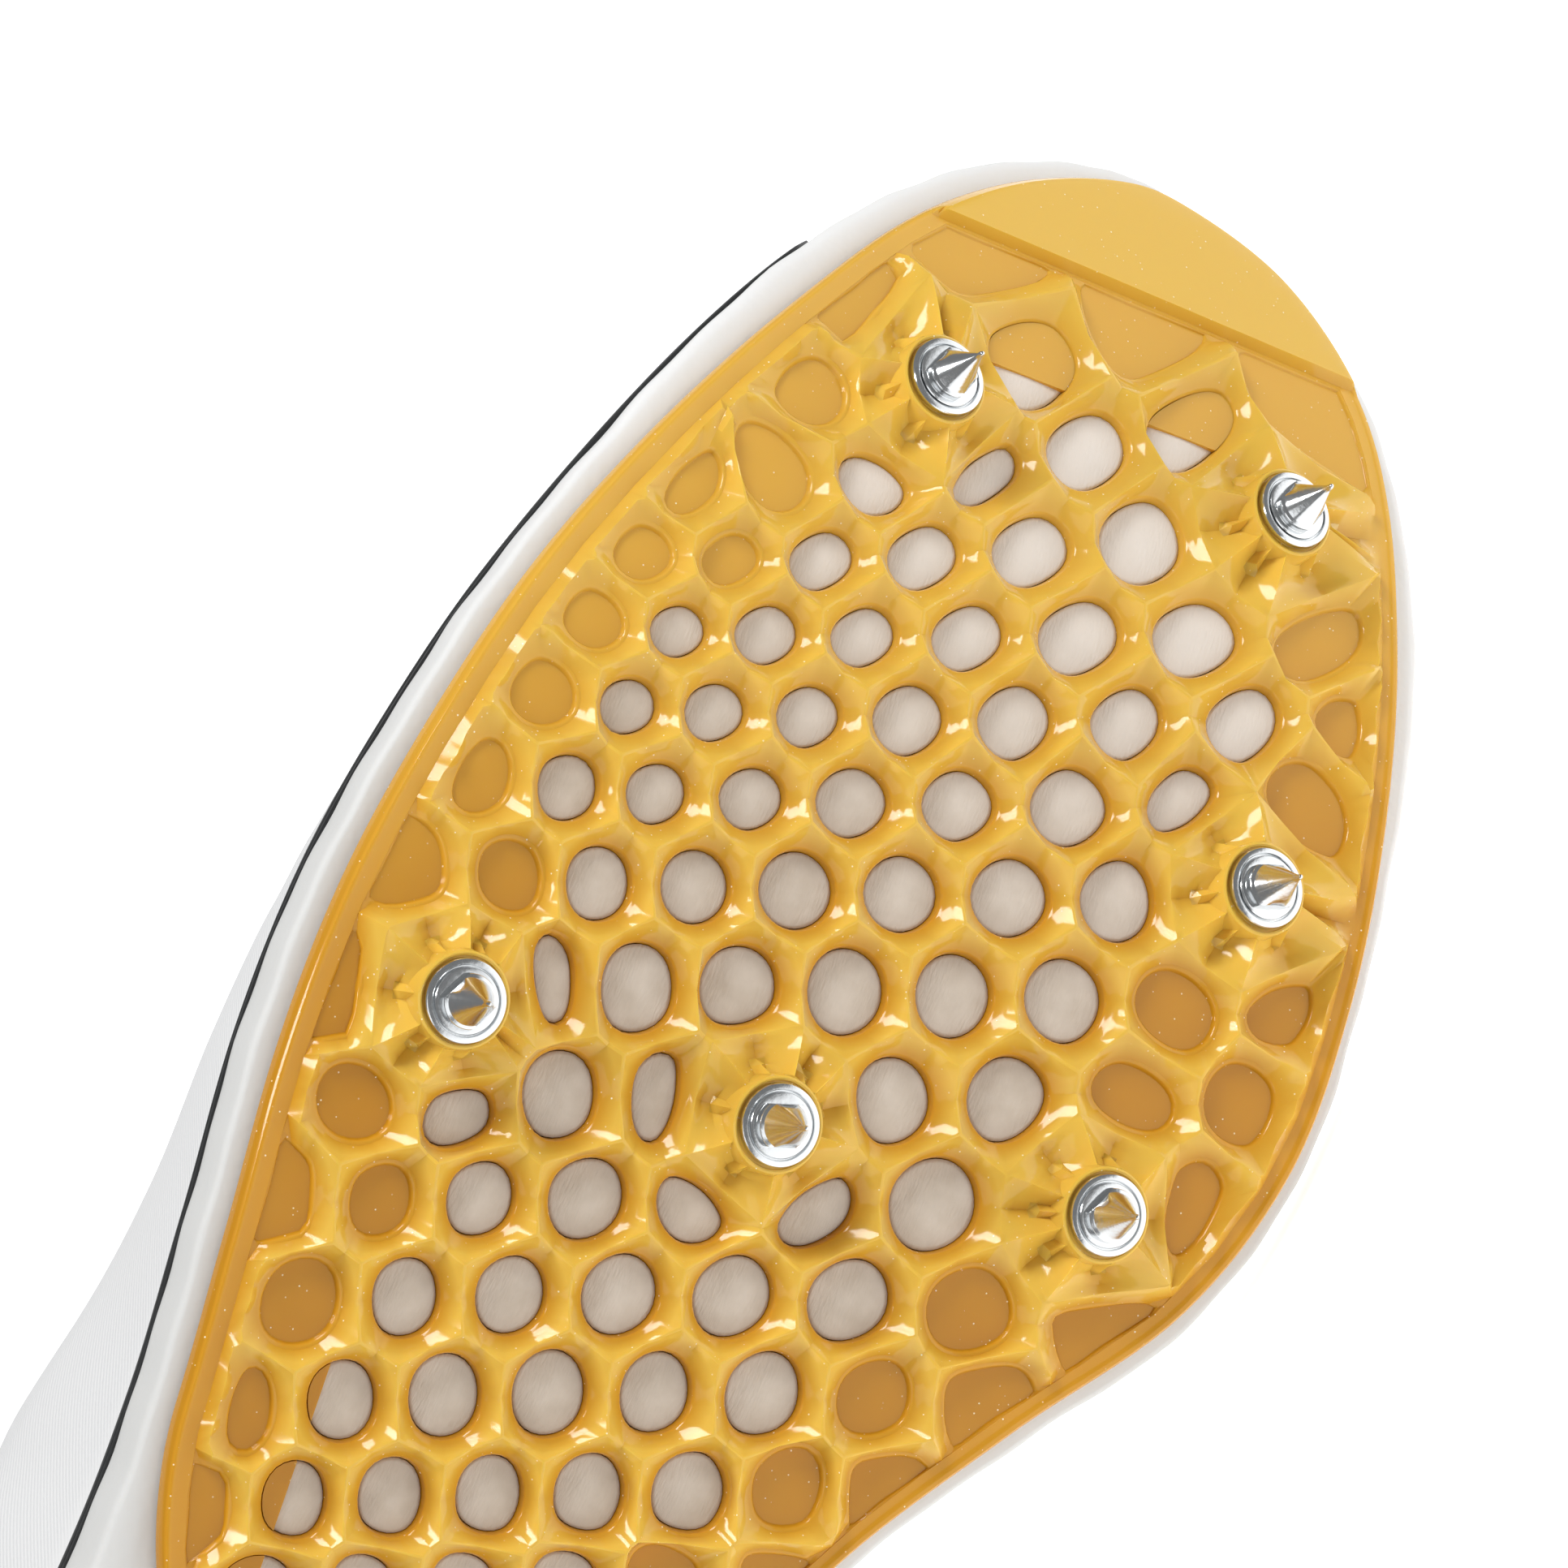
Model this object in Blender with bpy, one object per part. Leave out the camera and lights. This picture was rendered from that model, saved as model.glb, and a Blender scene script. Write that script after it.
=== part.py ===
"""Track spike shoe for the right foot, lying on its inner side.

The shoe is worked out upright first: x runs to the toe, y to the inner side, z up.
The sole line is level to the ball and an arc from there to the toe. A place on the
sole is (along, across, up): along is measured on that line, up is square to it.
At the end the whole shoe is turned to lie on its inner side, as it comes to rest.
"""

import math

import bmesh
import bpy
import numpy as np
from mathutils import Matrix, Vector
from mathutils.geometry import delaunay_2d_cdt

# Driving sizes of the shoe, in metres
LENGTH = 0.2826
BALL_WIDTH = 0.099
INSTEP_HEIGHT = 0.062
SPRING_START = 0.176
SPRING_RADIUS = 0.188
ARCH_RISE = 0.005
ARCH_FRONT = 0.165
ARCH_BACK = 0.103
GAP = 0.0003

# Spike plate
RIM_THICKNESS = 0.0020
FLOOR_THICKNESS = 0.0015
LIP_HEIGHT = 0.0025
RIDGE_HEIGHT = 0.0031
NODE_HEIGHT = 0.0040
PAD_HEIGHT = 0.0030
BOSS_HEIGHT = 0.0060
BOSS_FLAT_RADIUS = 0.0046
BOSS_REACH = 0.0069
RIM_WIDTH = 0.0022
RIDGE_FADE = 0.0028
LIP_INSET = 0.0005
HOLE_INSET = 0.0011
PLATE_TAIL = 0.103
TAIL_ROUND = 0.030
PAD_STEP_WIDTH = 0.0006
BOSS_ROOM = 0.0069
SHORT_RIDGE = 0.0025

# Spikes
FLANGE_RADIUS = 0.0039
FLANGE_THICKNESS = 0.0011
SHANK_RADIUS = 0.0026
SHANK_HEIGHT = 0.0022
SPIKE_HEIGHT = 0.0070
FLANGE_CHAMFER = 0.0003
FLATS_HEIGHT = 0.0034
FLATS_WIDTH = 0.0039
TIP_RADIUS = 0.0003

# Midsole, felt board and insole
BED_HEIGHT = BOSS_HEIGHT + GAP + SPIKE_HEIGHT
FOREFOOT_STACK = 0.0075
HEEL_STACK = 0.026
STACK_CHANGE = (0.20, 0.66)
SOLE_BULGE = 0.0018
HEEL_EDGE_ROUND = 0.0020
HEEL_BEVEL = 0.0030
BEVEL_LENGTH = 0.022
RAMP_START = 0.002
RAMP_LENGTH = 0.048
FELT_THICKNESS = 0.0010
FELT_INSET = 0.0060
INSOLE_THICKNESS = 0.0030
INSOLE_BEVEL = 0.0006

# Upper, tongue and laces
UPPER_WALL = 0.0016
UPPER_INSET = 0.0004
SECTION_ROUNDNESS = 0.90
HEEL_CURVE = 0.007
HEEL_BELLY = 0.003
HEEL_SHARE = 0.16
TONGUE_THICKNESS = 0.0026
TONGUE_CLEARANCE = 0.0012
LACE_WIDTH = 0.0055
LACE_THICKNESS = 0.0012
LACE_ROWS = 6
LACE_LIFT = 0.0006

# Edge of the sole: along is a share of the sole line, outer and inner of BALL_WIDTH
OUTLINE = [
    # along, outer, inner
    (0.000, -0.070, -0.070),
    (0.012, -0.245, 0.115),
    (0.035, -0.325, 0.195),
    (0.080, -0.378, 0.240),
    (0.150, -0.392, 0.255),
    (0.225, -0.385, 0.230),
    (0.315, -0.375, 0.188),
    (0.395, -0.383, 0.176),
    (0.452, -0.406, 0.195),
    (0.511, -0.445, 0.250),
    (0.570, -0.482, 0.345),
    (0.629, -0.497, 0.452),
    (0.688, -0.484, 0.500),
    (0.748, -0.450, 0.498),
    (0.809, -0.388, 0.475),
    (0.872, -0.302, 0.437),
    (0.926, -0.208, 0.386),
    (0.966, -0.107, 0.320),
    (0.993, 0.005, 0.215),
    (1.000, 0.090, 0.090),
]

# Sections of the upper: rise is the crest over the midsole as a share of INSTEP_HEIGHT,
# wrap is the angle at which the wall stops, 90 where it closes over the foot
SECTIONS = [
    # along, rise, wrap
    (0.000, 1.16, 56),
    (0.040, 1.15, 56),
    (0.100, 1.10, 54),
    (0.180, 1.02, 51),
    (0.260, 1.00, 50),
    (0.330, 1.06, 54),
    (0.380, 1.08, 61),
    (0.430, 1.02, 69),
    (0.500, 0.89, 72),
    (0.580, 0.75, 75),
    (0.640, 0.65, 80),
    (0.665, 0.62, 90),
    (0.720, 0.54, 90),
    (0.800, 0.45, 90),
    (0.880, 0.37, 90),
    (0.940, 0.30, 90),
    (0.975, 0.24, 90),
    (1.000, 0.15, 90),
]

# Rows of cells in the plate, toe to heel. Each runs from the outer to the inner side.
# Places are shares of the sole line and of BALL_WIDTH; bow and crowd bend the spacing.
CELL_ROWS = [
    # along_outer, along_inner, bow, across_outer, across_inner, crowd, count, blind_outer, blind_inner
    (0.878, 0.935, 0.000, -0.222, -0.120, 0.000, 2, 1, 1),
    (0.837, 0.936, 0.051, -0.336, 0.072, 0.048, 5, 2, 1),
    (0.780, 0.946, 0.084, -0.420, 0.270, 0.140, 8, 3, 1),
    (0.755, 0.891, 0.074, -0.428, 0.252, 0.207, 8, 3, 0),
    (0.738, 0.862, 0.048, -0.375, 0.346, 0.232, 8, 1, 1),
    (0.709, 0.842, 0.058, -0.391, 0.410, 0.229, 9, 1, 1),
    (0.676, 0.806, 0.055, -0.418, 0.377, 0.207, 9, 1, 1),
    (0.638, 0.761, 0.026, -0.438, 0.340, 0.171, 9, 2, 0),
    (0.597, 0.734, 0.007, -0.452, 0.432, 0.168, 10, 1, 2),
    (0.565, 0.704, 0.020, -0.386, 0.430, 0.172, 9, 1, 2),
    (0.530, 0.662, 0.032, -0.418, 0.412, 0.192, 9, 2, 1),
    (0.503, 0.614, 0.000, -0.352, 0.370, 0.152, 8, 1, 2),
    (0.464, 0.574, -0.010, -0.358, 0.300, 0.088, 8, 1, 2),
    (0.433, 0.533, 0.005, -0.352, 0.250, 0.042, 8, 1, 2),
    (0.404, 0.492, 0.004, -0.335, 0.190, 0.030, 7, 1, 2),
    (0.378, 0.440, 0.000, -0.270, 0.110, 0.000, 5, 3, 2),
]

# Spikes: places as in the rows, turn is the direction of the wrench flats in degrees
SPIKES = [
    # along, across, turn
    (0.868, -0.143, -69),
    (0.892, 0.255, -69),
    (0.764, 0.342, -24),
    (0.608, -0.360, -69),
    (0.620, -0.028, -24),
    (0.644, 0.314, -69),
]

# The smooth toe pad starts at a straight step between these two places
PAD_STEP = [(0.937, -0.20), (0.967, 0.33)]

# Side of the midsole, from its lower to its upper edge, as shares of its height and SOLE_BULGE
SIDE_PROFILE = [
    # height, bulge
    (0.00, 0.3),
    (0.20, 1.0),
    (0.60, 0.9),
    (1.00, 0.5),
]

# Ends of the felt board, tongue and lacing, as shares of the sole line; wraps in degrees
FELT_FRONT = 0.955
TONGUE_ENDS = (0.345, 0.700)
TONGUE_WRAP = 52
LACE_ENDS = (0.440, 0.648)
LACE_WRAP = 62

OVAL_POINTS = 8
OVAL_SQUARENESS = 4
PLATE_STEPS = 36
SOLE_STEPS = 36
FELT_STEPS = 24
SPIKE_SIDES = 10
WALL_STEPS = 6
MILLIMETRE = 0.001

# Colour, roughness, metallic, and density for the balance point, in kg per cubic metre
MATERIALS = {
    "plate": ((0.80, 0.45, 0.06), 0.15, 0.0, 1050),
    "spike": ((0.62, 0.64, 0.66), 0.18, 1.0, 7800),
    "felt": ((0.72, 0.63, 0.55), 0.95, 0.0, 300),
    "midsole": ((0.85, 0.85, 0.84), 0.60, 0.0, 140),
    "upper": ((0.86, 0.86, 0.86), 0.75, 0.0, 450),
    "tongue": ((0.84, 0.84, 0.84), 0.80, 0.0, 300),
    "insole": ((0.70, 0.70, 0.70), 0.90, 0.0, 200),
    "lace": ((0.88, 0.88, 0.88), 0.85, 0.0, 500),
}


def sole_length():
    """Length of the sole line from heel to toe: the level part and the arc."""
    return SPRING_START + SPRING_RADIUS * math.asin((LENGTH - SPRING_START) / SPRING_RADIUS)


def smooth(t):
    """Ease from 0 to 1 with level ends."""
    t = np.clip(t, 0, 1)
    return t * t * (3 - 2 * t)


def sole_point(along, across, up):
    """Turn places on the sole (arrays or numbers, in metres) into upright x, y, z."""
    along, across, up = np.broadcast_arrays(along, across, up)
    turn = np.maximum(along - SPRING_START, 0) / SPRING_RADIUS
    reach = ARCH_FRONT - ARCH_BACK
    arch = np.clip((ARCH_FRONT - along) / reach, 0, 1)
    lean = turn - np.arctan(6 * arch * (1 - arch) * ARCH_RISE / reach)
    x = np.minimum(along, SPRING_START) + SPRING_RADIUS * np.sin(turn) - up * np.sin(lean)
    z = BED_HEIGHT + SPRING_RADIUS * (1 - np.cos(turn)) + ARCH_RISE * smooth(arch) + up * np.cos(lean)
    return np.stack([x, across, z], axis=-1)


def outline(steps, outset=0.0, start=0.0, end=1.0):
    """Outer and inner edge of the sole, two rows of (along, across) from heel to toe."""
    rows = np.array(OUTLINE) * (sole_length(), BALL_WIDTH, BALL_WIDTH)
    ring = np.vstack([rows[:, [0, 1]], rows[-2:0:-1, [0, 2]]])
    spans = len(rows) - 1
    walk = np.interp([start, end], rows[:, 0] / sole_length(), np.arange(spans + 1))
    walk = np.linspace(walk[0], walk[1], steps + 1)
    sides = []
    for t in (walk, 2 * spans - walk):
        index = np.floor(t).astype(int)
        f = (t - index)[:, None]
        a, b, c, d = (ring[(index + k) % len(ring)] for k in (-1, 0, 1, 2))
        place = b + f * ((c - a) + f * (2 * a - 5 * b + 4 * c - d + f * (3 * (b - c) + d - a))) / 2
        heading = (c - a) + f * (2 * (2 * a - 5 * b + 4 * c - d) + f * 3 * (3 * (b - c) + d - a))
        normal = np.stack([heading[:, 1], -heading[:, 0]], axis=1)
        sides.append(place + outset * normal / np.linalg.norm(normal, axis=1)[:, None])
    return np.array(sides)


def stack_height(along):
    """Height of the midsole's top over the sole line: thin in front, thick at the heel."""
    heel = HEEL_STACK - BED_HEIGHT
    back, front = STACK_CHANGE
    share = smooth((front - along / sole_length()) / (front - back))
    return FOREFOOT_STACK + (heel - FOREFOOT_STACK) * share


def material(name):
    """Principled material with the part's colour."""
    colour, roughness, metallic, density = MATERIALS[name]
    made = bpy.data.materials.get(name) or bpy.data.materials.new(name)
    made.use_nodes = True
    shader = made.node_tree.nodes["Principled BSDF"]
    shader.inputs["Base Color"].default_value = (*colour, 1.0)
    shader.inputs["Roughness"].default_value = roughness
    shader.inputs["Metallic"].default_value = metallic
    return made


def new_object(name, points, faces, finish, sharp=40):
    """Make a mesh object from points and faces, with its faces turned outwards."""
    mesh = bpy.data.meshes.new(name)
    mesh.from_pydata([tuple(p) for p in points], [], faces)
    shape = bmesh.new()
    shape.from_mesh(mesh)
    bmesh.ops.recalc_face_normals(shape, faces=shape.faces)
    if shape.calc_volume(signed=True) < 0:
        bmesh.ops.reverse_faces(shape, faces=shape.faces)
    shape.to_mesh(mesh)
    shape.free()
    mesh.materials.append(material(finish))
    mesh.shade_smooth()
    mesh.set_sharp_from_angle(angle=math.radians(sharp))
    made = bpy.data.objects.new(name, mesh)
    bpy.context.scene.collection.objects.link(made)
    return made


def stacked_solid(name, levels, finish):
    """Close a stack of sole-shaped loops into one solid.

    Each level is an array (2, steps + 1, 3): the outer and the inner edge from heel to
    toe, which meet at both ends. The first and last level are filled straight across.
    """
    steps = levels[0].shape[1] - 1
    around = 2 * steps
    points = np.vstack([np.vstack([level[0], level[1][-2:0:-1]]) for level in levels])
    faces = []
    for k in range(len(levels) - 1):
        for i in range(around):
            j = (i + 1) % around
            faces.append((k * around + i, k * around + j, (k + 1) * around + j, (k + 1) * around + i))
    for base in (0, (len(levels) - 1) * around):
        for i in range(steps):
            left = (base + i, base + i + 1)
            right = (base + (around - i - 1) % around, base + (around - i) % around)
            faces.append(tuple(dict.fromkeys(left + right)))
    return new_object(name, points, faces, finish)


def clip(polygon, place, normal):
    """Cut a polygon by a line and keep the side that the normal points away from."""
    kept = []
    for i, p in enumerate(polygon):
        q = polygon[(i + 1) % len(polygon)]
        side_p = (p[0] - place[0]) * normal[0] + (p[1] - place[1]) * normal[1]
        side_q = (q[0] - place[0]) * normal[0] + (q[1] - place[1]) * normal[1]
        if side_p <= 0:
            kept.append(p)
        if (side_p < 0 < side_q) or (side_q < 0 < side_p):
            share = side_p / (side_p - side_q)
            kept.append((p[0] + share * (q[0] - p[0]), p[1] + share * (q[1] - p[1])))
    return kept


def inside(polygon, points):
    """Which of the points lie inside a polygon, by counting crossings."""
    points = np.asarray(points, float)
    hit = np.zeros(len(points), bool)
    for i, p in enumerate(polygon):
        q = polygon[(i + 1) % len(polygon)]
        if p[1] == q[1]:
            continue
        spans = (p[1] > points[:, 1]) != (q[1] > points[:, 1])
        cut = (q[0] - p[0]) * (points[:, 1] - p[1]) / (q[1] - p[1]) + p[0]
        hit ^= spans & (points[:, 0] < cut)
    return hit


def distance_to(polygon, points):
    """Distance from points to the nearest side of a polygon."""
    points = np.asarray(points, float)
    best = np.full(len(points), np.inf)
    for i, p in enumerate(polygon):
        p = np.array(p)
        side = np.array(polygon[(i + 1) % len(polygon)]) - p
        share = np.clip(((points - p) @ side) / max(side @ side, 1e-12), 0, 1)
        best = np.minimum(best, np.linalg.norm(points - p - share[:, None] * side, axis=1))
    return best


def plate_sides(inset, steps):
    """Outer and inner edge of the plate: the sole's edge with a round tail."""
    edge = outline(200)
    stations = 0.5 - 0.5 * np.cos(np.pi * np.arange(steps + 1) / steps)
    along = PLATE_TAIL + (sole_length() - PLATE_TAIL) * stations
    outer = np.interp(along, edge[0, :, 0], edge[0, :, 1])
    inner = np.interp(along, edge[1, :, 0], edge[1, :, 1])
    middle = (outer + inner) / 2
    tail = np.clip((along - PLATE_TAIL) / TAIL_ROUND, 0, 1)
    spread = np.sqrt(1 - (1 - tail) ** 2)
    outer = middle + (outer - middle) * spread
    inner = middle + (inner - middle) * spread
    loop = np.vstack([np.stack([along, outer], 1), np.stack([along, inner], 1)[-2:0:-1]])
    heading = np.roll(loop, -1, axis=0) - np.roll(loop, 1, axis=0)
    normal = np.stack([heading[:, 1], -heading[:, 0]], 1) / np.linalg.norm(heading, axis=1)[:, None]
    loop = loop - inset * normal
    return np.array([loop[:steps + 1], np.roll(loop[::-1], 1, axis=0)[:steps + 1]])


def plate_edge(inset):
    """Edge of the plate as one polygon, in millimetres."""
    outer, inner = plate_sides(inset, PLATE_STEPS) / MILLIMETRE
    return [tuple(p) for p in np.vstack([outer, inner[-2:0:-1]])]


def cell_sites():
    """Centres of the cells and spikes on the flat pattern, in millimetres.

    Gives a list of (along, across, kind), kind being open, blind or spike.
    """
    scale = (sole_length() / MILLIMETRE, BALL_WIDTH / MILLIMETRE)
    spikes = [(along * scale[0], across * scale[1], "spike") for along, across, turn in SPIKES]
    sites = list(spikes)
    zone = plate_edge(RIM_WIDTH)
    for a0, a1, bow, y0, y1, crowd, count, blind_outer, blind_inner in CELL_ROWS:
        for i in range(count):
            f = i / (count - 1)
            along = (a0 + (a1 - a0) * f + bow * f * (f - 1)) * scale[0]
            across = (y0 + (y1 - y0) * f + crowd * f * (f - 1)) * scale[1]
            near_spike = min(math.dist((along, across), spike[:2]) for spike in spikes)
            place = np.array([(along, across)])
            if near_spike * MILLIMETRE < BOSS_REACH or not inside(zone, place)[0]:
                continue
            blind = i < blind_outer or i >= count - blind_inner
            sites.append((along, across, "blind" if blind else "open"))
    return sites


def cell_polygons(sites, zone):
    """Divide the zone among the sites; a spike takes more room than a cell.

    The line between two sites stands where the squares of the distances to them, less the
    square of BOSS_ROOM for a spike, are equal.
    """
    weight = {"spike": (BOSS_ROOM / MILLIMETRE) ** 2, "open": 0.0, "blind": 0.0}
    far = 4 * BOSS_REACH / MILLIMETRE
    polygons = []
    for i, (a, y, kind) in enumerate(sites):
        polygon = zone
        for j, (b, v, other) in enumerate(sites):
            apart = math.dist((a, y), (b, v))
            if i == j or apart > far:
                continue
            share = 0.5 + (weight[kind] - weight[other]) / (2 * apart * apart)
            place = (a + share * (b - a), y + share * (v - y))
            polygon = clip(polygon, place, (b - a, v - y))
        polygons.append(polygon)
    return polygons


def straightened(polygon, turn_limit=14.0, shortest=0.05):
    """Drop the corners of a polygon that hardly turn, by degrees, and doubled points."""
    kept = []
    for i, p in enumerate(polygon):
        before = np.subtract(p, polygon[i - 1])
        after = np.subtract(polygon[(i + 1) % len(polygon)], p)
        if np.hypot(*before) < shortest:
            continue
        turn = math.atan2(before[0] * after[1] - before[1] * after[0], before @ after)
        if abs(math.degrees(turn)) > turn_limit:
            kept.append(p)
    return kept


def oval(polygon, inset, count):
    """Round loop that fills a polygon up to an inset from its sides.

    r(angle) = (sum over the sides of max(0, n . e / (d - inset)) ^ s) ^ (-1 / s), with n the
    side's outward direction, d its distance from the middle and e the angle's direction.
    """
    corners = np.array(straightened(polygon))
    middle = corners.mean(axis=0)
    side = np.roll(corners, -1, axis=0) - corners
    normal = np.stack([side[:, 1], -side[:, 0]], 1) / np.linalg.norm(side, axis=1)[:, None]
    far = ((corners - middle) * normal).sum(axis=1)
    normal[far < 0] *= -1
    far = np.maximum(np.abs(far) - inset, inset / 3)
    angle = 2 * np.pi * (np.arange(count) + 0.5) / count
    way = np.stack([np.cos(angle), np.sin(angle)], 1)
    pull = np.maximum(way @ normal.T, 0) / far
    radius = (pull ** OVAL_SQUARENESS).sum(axis=1) ** (-1 / OVAL_SQUARENESS)
    return middle + way * radius[:, None]


def spike_plate():
    """The spike plate: cells with ridges between them, through holes, and star bosses."""
    unit = 1 / MILLIMETRE
    scale = (sole_length() * unit, BALL_WIDTH * unit)
    edge = plate_edge(0)
    (a0, y0), (a1, y1) = [(p[0] * scale[0], p[1] * scale[1]) for p in PAD_STEP]
    across_step = np.array([y1 - y0, a0 - a1]) / math.dist((a0, y0), (a1, y1))
    step = np.array([a0, y0])
    foot = step - across_step * PAD_STEP_WIDTH * unit
    flat_part = clip(edge, foot, across_step)
    pad = clip(edge, step, -across_step)
    zone = clip(plate_edge(RIM_WIDTH), foot - across_step, across_step)
    sites = cell_sites()
    polygons = cell_polygons(sites, zone)

    points, heights, edges = [], [], []

    def add(place, height):
        points.append((float(place[0]), float(place[1])))
        heights.append(height)
        return len(points) - 1

    def add_loop(places, levels):
        first = len(points)
        for place, level in zip(places, levels):
            add(place, level)
        count = len(points) - first
        edges.extend((first + i, first + (i + 1) % count) for i in range(count))

    def faded(places, height):
        share = np.clip(distance_to(zone, places) / (RIDGE_FADE * unit), 0, 1)
        return RIM_THICKNESS + (height - RIM_THICKNESS) * share

    add_loop(flat_part, [RIM_THICKNESS] * len(flat_part))
    add_loop(pad, [PAD_HEIGHT] * len(pad))

    def near_line(polygon, place):
        on_line = [p for p in polygon if abs(np.dot(np.subtract(p, place), across_step)) < 1e-6]
        return sorted(on_line, key=lambda p: p[1])

    for low, high in zip(near_line(flat_part, foot), near_line(pad, step)):
        edges.append((add(low, RIM_THICKNESS), add(high, PAD_HEIGHT)))

    holes, blind_middles = [], []
    for (a, y, kind), polygon in zip(sites, polygons):
        ring, levels = [], []
        for i, p in enumerate(polygon):
            q = polygon[(i + 1) % len(polygon)]
            ring.append(p)
            levels.append(NODE_HEIGHT)
            if math.dist(p, q) > SHORT_RIDGE * unit:
                ring.append(((p[0] + q[0]) / 2, (p[1] + q[1]) / 2))
                levels.append(RIDGE_HEIGHT)
        add_loop(ring, faded(np.array(ring), np.array(levels)))
        if kind == "spike":
            middle = np.array([a, y])
            corners = np.array(straightened(polygon))
            corner_angle = np.sort(np.arctan2(corners[:, 1] - y, corners[:, 0] - a))
            following = np.append(corner_angle[1:], corner_angle[0] + 2 * np.pi)
            between = (corner_angle + following) / 2
            angles = np.sort(np.concatenate([corner_angle, between]))
            way = np.stack([np.cos(angles), np.sin(angles)], 1)
            add_loop(middle + way * BOSS_FLAT_RADIUS * unit, [BOSS_HEIGHT] * len(angles))
            for angle in between:
                foot_way = np.array([math.cos(angle), math.sin(angle)])
                add(middle + foot_way * BOSS_REACH * unit, (RIDGE_HEIGHT + NODE_HEIGHT) / 2)
            order = np.argsort(np.arctan2(corners[:, 1] - y, corners[:, 0] - a))
            for corner, angle in zip(corners[order], corner_angle):
                start = middle + np.array([math.cos(angle), math.sin(angle)]) * BOSS_FLAT_RADIUS * unit
                edges.append((add(start, BOSS_HEIGHT), add(corner, NODE_HEIGHT)))
            continue
        hole = oval(polygon, HOLE_INSET * unit, OVAL_POINTS)
        add_loop(hole, [FLOOR_THICKNESS] * OVAL_POINTS)
        if kind == "open":
            lip = oval(polygon, LIP_INSET * unit, OVAL_POINTS)
            add_loop(lip, faded(lip, LIP_HEIGHT))
            holes.append(hole)
        else:
            blind_middles.append(hole.mean(axis=0))

    def kept(places, triangles):
        middles = np.array([np.mean([places[i] for i in t], axis=0) for t in triangles])
        keep = inside(edge, middles)
        for hole in holes:
            keep &= ~inside(hole, middles)
        return [t for t, use in zip(triangles, keep) if use]

    result = delaunay_2d_cdt([Vector(p) for p in points], edges, [], 0, 0.01)
    places = [tuple(v) for v in result[0]]
    level = [max((heights[i] for i in origin), default=RIDGE_HEIGHT) for origin in result[3]]
    below = kept(places, [tuple(f) for f in result[2]])
    sides = {}
    for triangle in below:
        for i in range(3):
            side = (triangle[i], triangle[(i + 1) % 3])
            if side[::-1] in sides:
                del sides[side[::-1]]
            else:
                sides[side] = True
    used = sorted({i for side in sides for i in side})
    back = {old: new for new, old in enumerate(used)}
    loose = [Vector(p) for p in blind_middles] + [Vector(p) for p in pad_middles(pad)]
    top = delaunay_2d_cdt(
        [Vector(places[i]) for i in used] + loose,
        [(back[i], back[j]) for i, j in sides], [], 0, 0.001)
    above = kept([tuple(v) for v in top[0]], [tuple(f) for f in top[2]])

    count = len(places)
    low = sole_point(*(np.array(places).T * MILLIMETRE), -np.array(level))
    high = sole_point(*(np.array([tuple(v) for v in top[0]]).T * MILLIMETRE), 0.0)
    top_of = {origin: i for i, origins in enumerate(top[3]) for origin in origins}
    faces = [tuple(reversed(t)) for t in below]
    faces += [tuple(count + i for i in t) for t in above]
    faces += [(i, j, count + top_of[back[j]], count + top_of[back[i]]) for i, j in sides]
    plate = new_object("spike_plate", np.vstack([low, high]), faces, "plate", sharp=25)
    drop_loose_points(plate)
    return plate


def pad_middles(pad):
    """A few places inside the toe pad, halfway from its middle to its edge."""
    middle = np.mean(pad, axis=0)
    return [middle] + [(middle + np.array(p)) / 2 for p in pad[::4]]


def drop_loose_points(made):
    """Remove points that no face uses."""
    shape = bmesh.new()
    shape.from_mesh(made.data)
    loose = [v for v in shape.verts if not v.link_faces]
    bmesh.ops.delete(shape, geom=loose, context="VERTS")
    shape.to_mesh(made.data)
    shape.free()


def spike_mesh():
    """One spike, standing on z = 0: flange, shank with two flats, and a pointed cone."""
    profile = [
        (FLANGE_RADIUS - FLANGE_CHAMFER, 0.0),
        (FLANGE_RADIUS, FLANGE_CHAMFER),
        (FLANGE_RADIUS, FLANGE_THICKNESS - FLANGE_CHAMFER),
        (FLANGE_RADIUS - FLANGE_CHAMFER, FLANGE_THICKNESS),
        (SHANK_RADIUS, FLANGE_THICKNESS),
        (SHANK_RADIUS, SHANK_HEIGHT),
        (FLATS_WIDTH / 2, FLATS_HEIGHT),
        (TIP_RADIUS, SPIKE_HEIGHT),
    ]
    sides = SPIKE_SIDES
    angle = 2 * np.pi * np.arange(sides) / sides
    points, faces = [], []
    for k, (radius, height) in enumerate(profile):
        x = radius * np.cos(angle)
        if height >= FLANGE_THICKNESS and radius <= SHANK_RADIUS:
            x = np.clip(x, -FLATS_WIDTH / 2, FLATS_WIDTH / 2)
        points += list(np.stack([x, radius * np.sin(angle), np.full(sides, height)], 1))
        if k:
            for i in range(sides):
                j = (i + 1) % sides
                faces.append(((k - 1) * sides + i, (k - 1) * sides + j, k * sides + j, k * sides + i))
    faces.append(tuple(range(sides))[::-1])
    faces.append(tuple(range((len(profile) - 1) * sides, len(profile) * sides)))
    return points, faces


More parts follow.
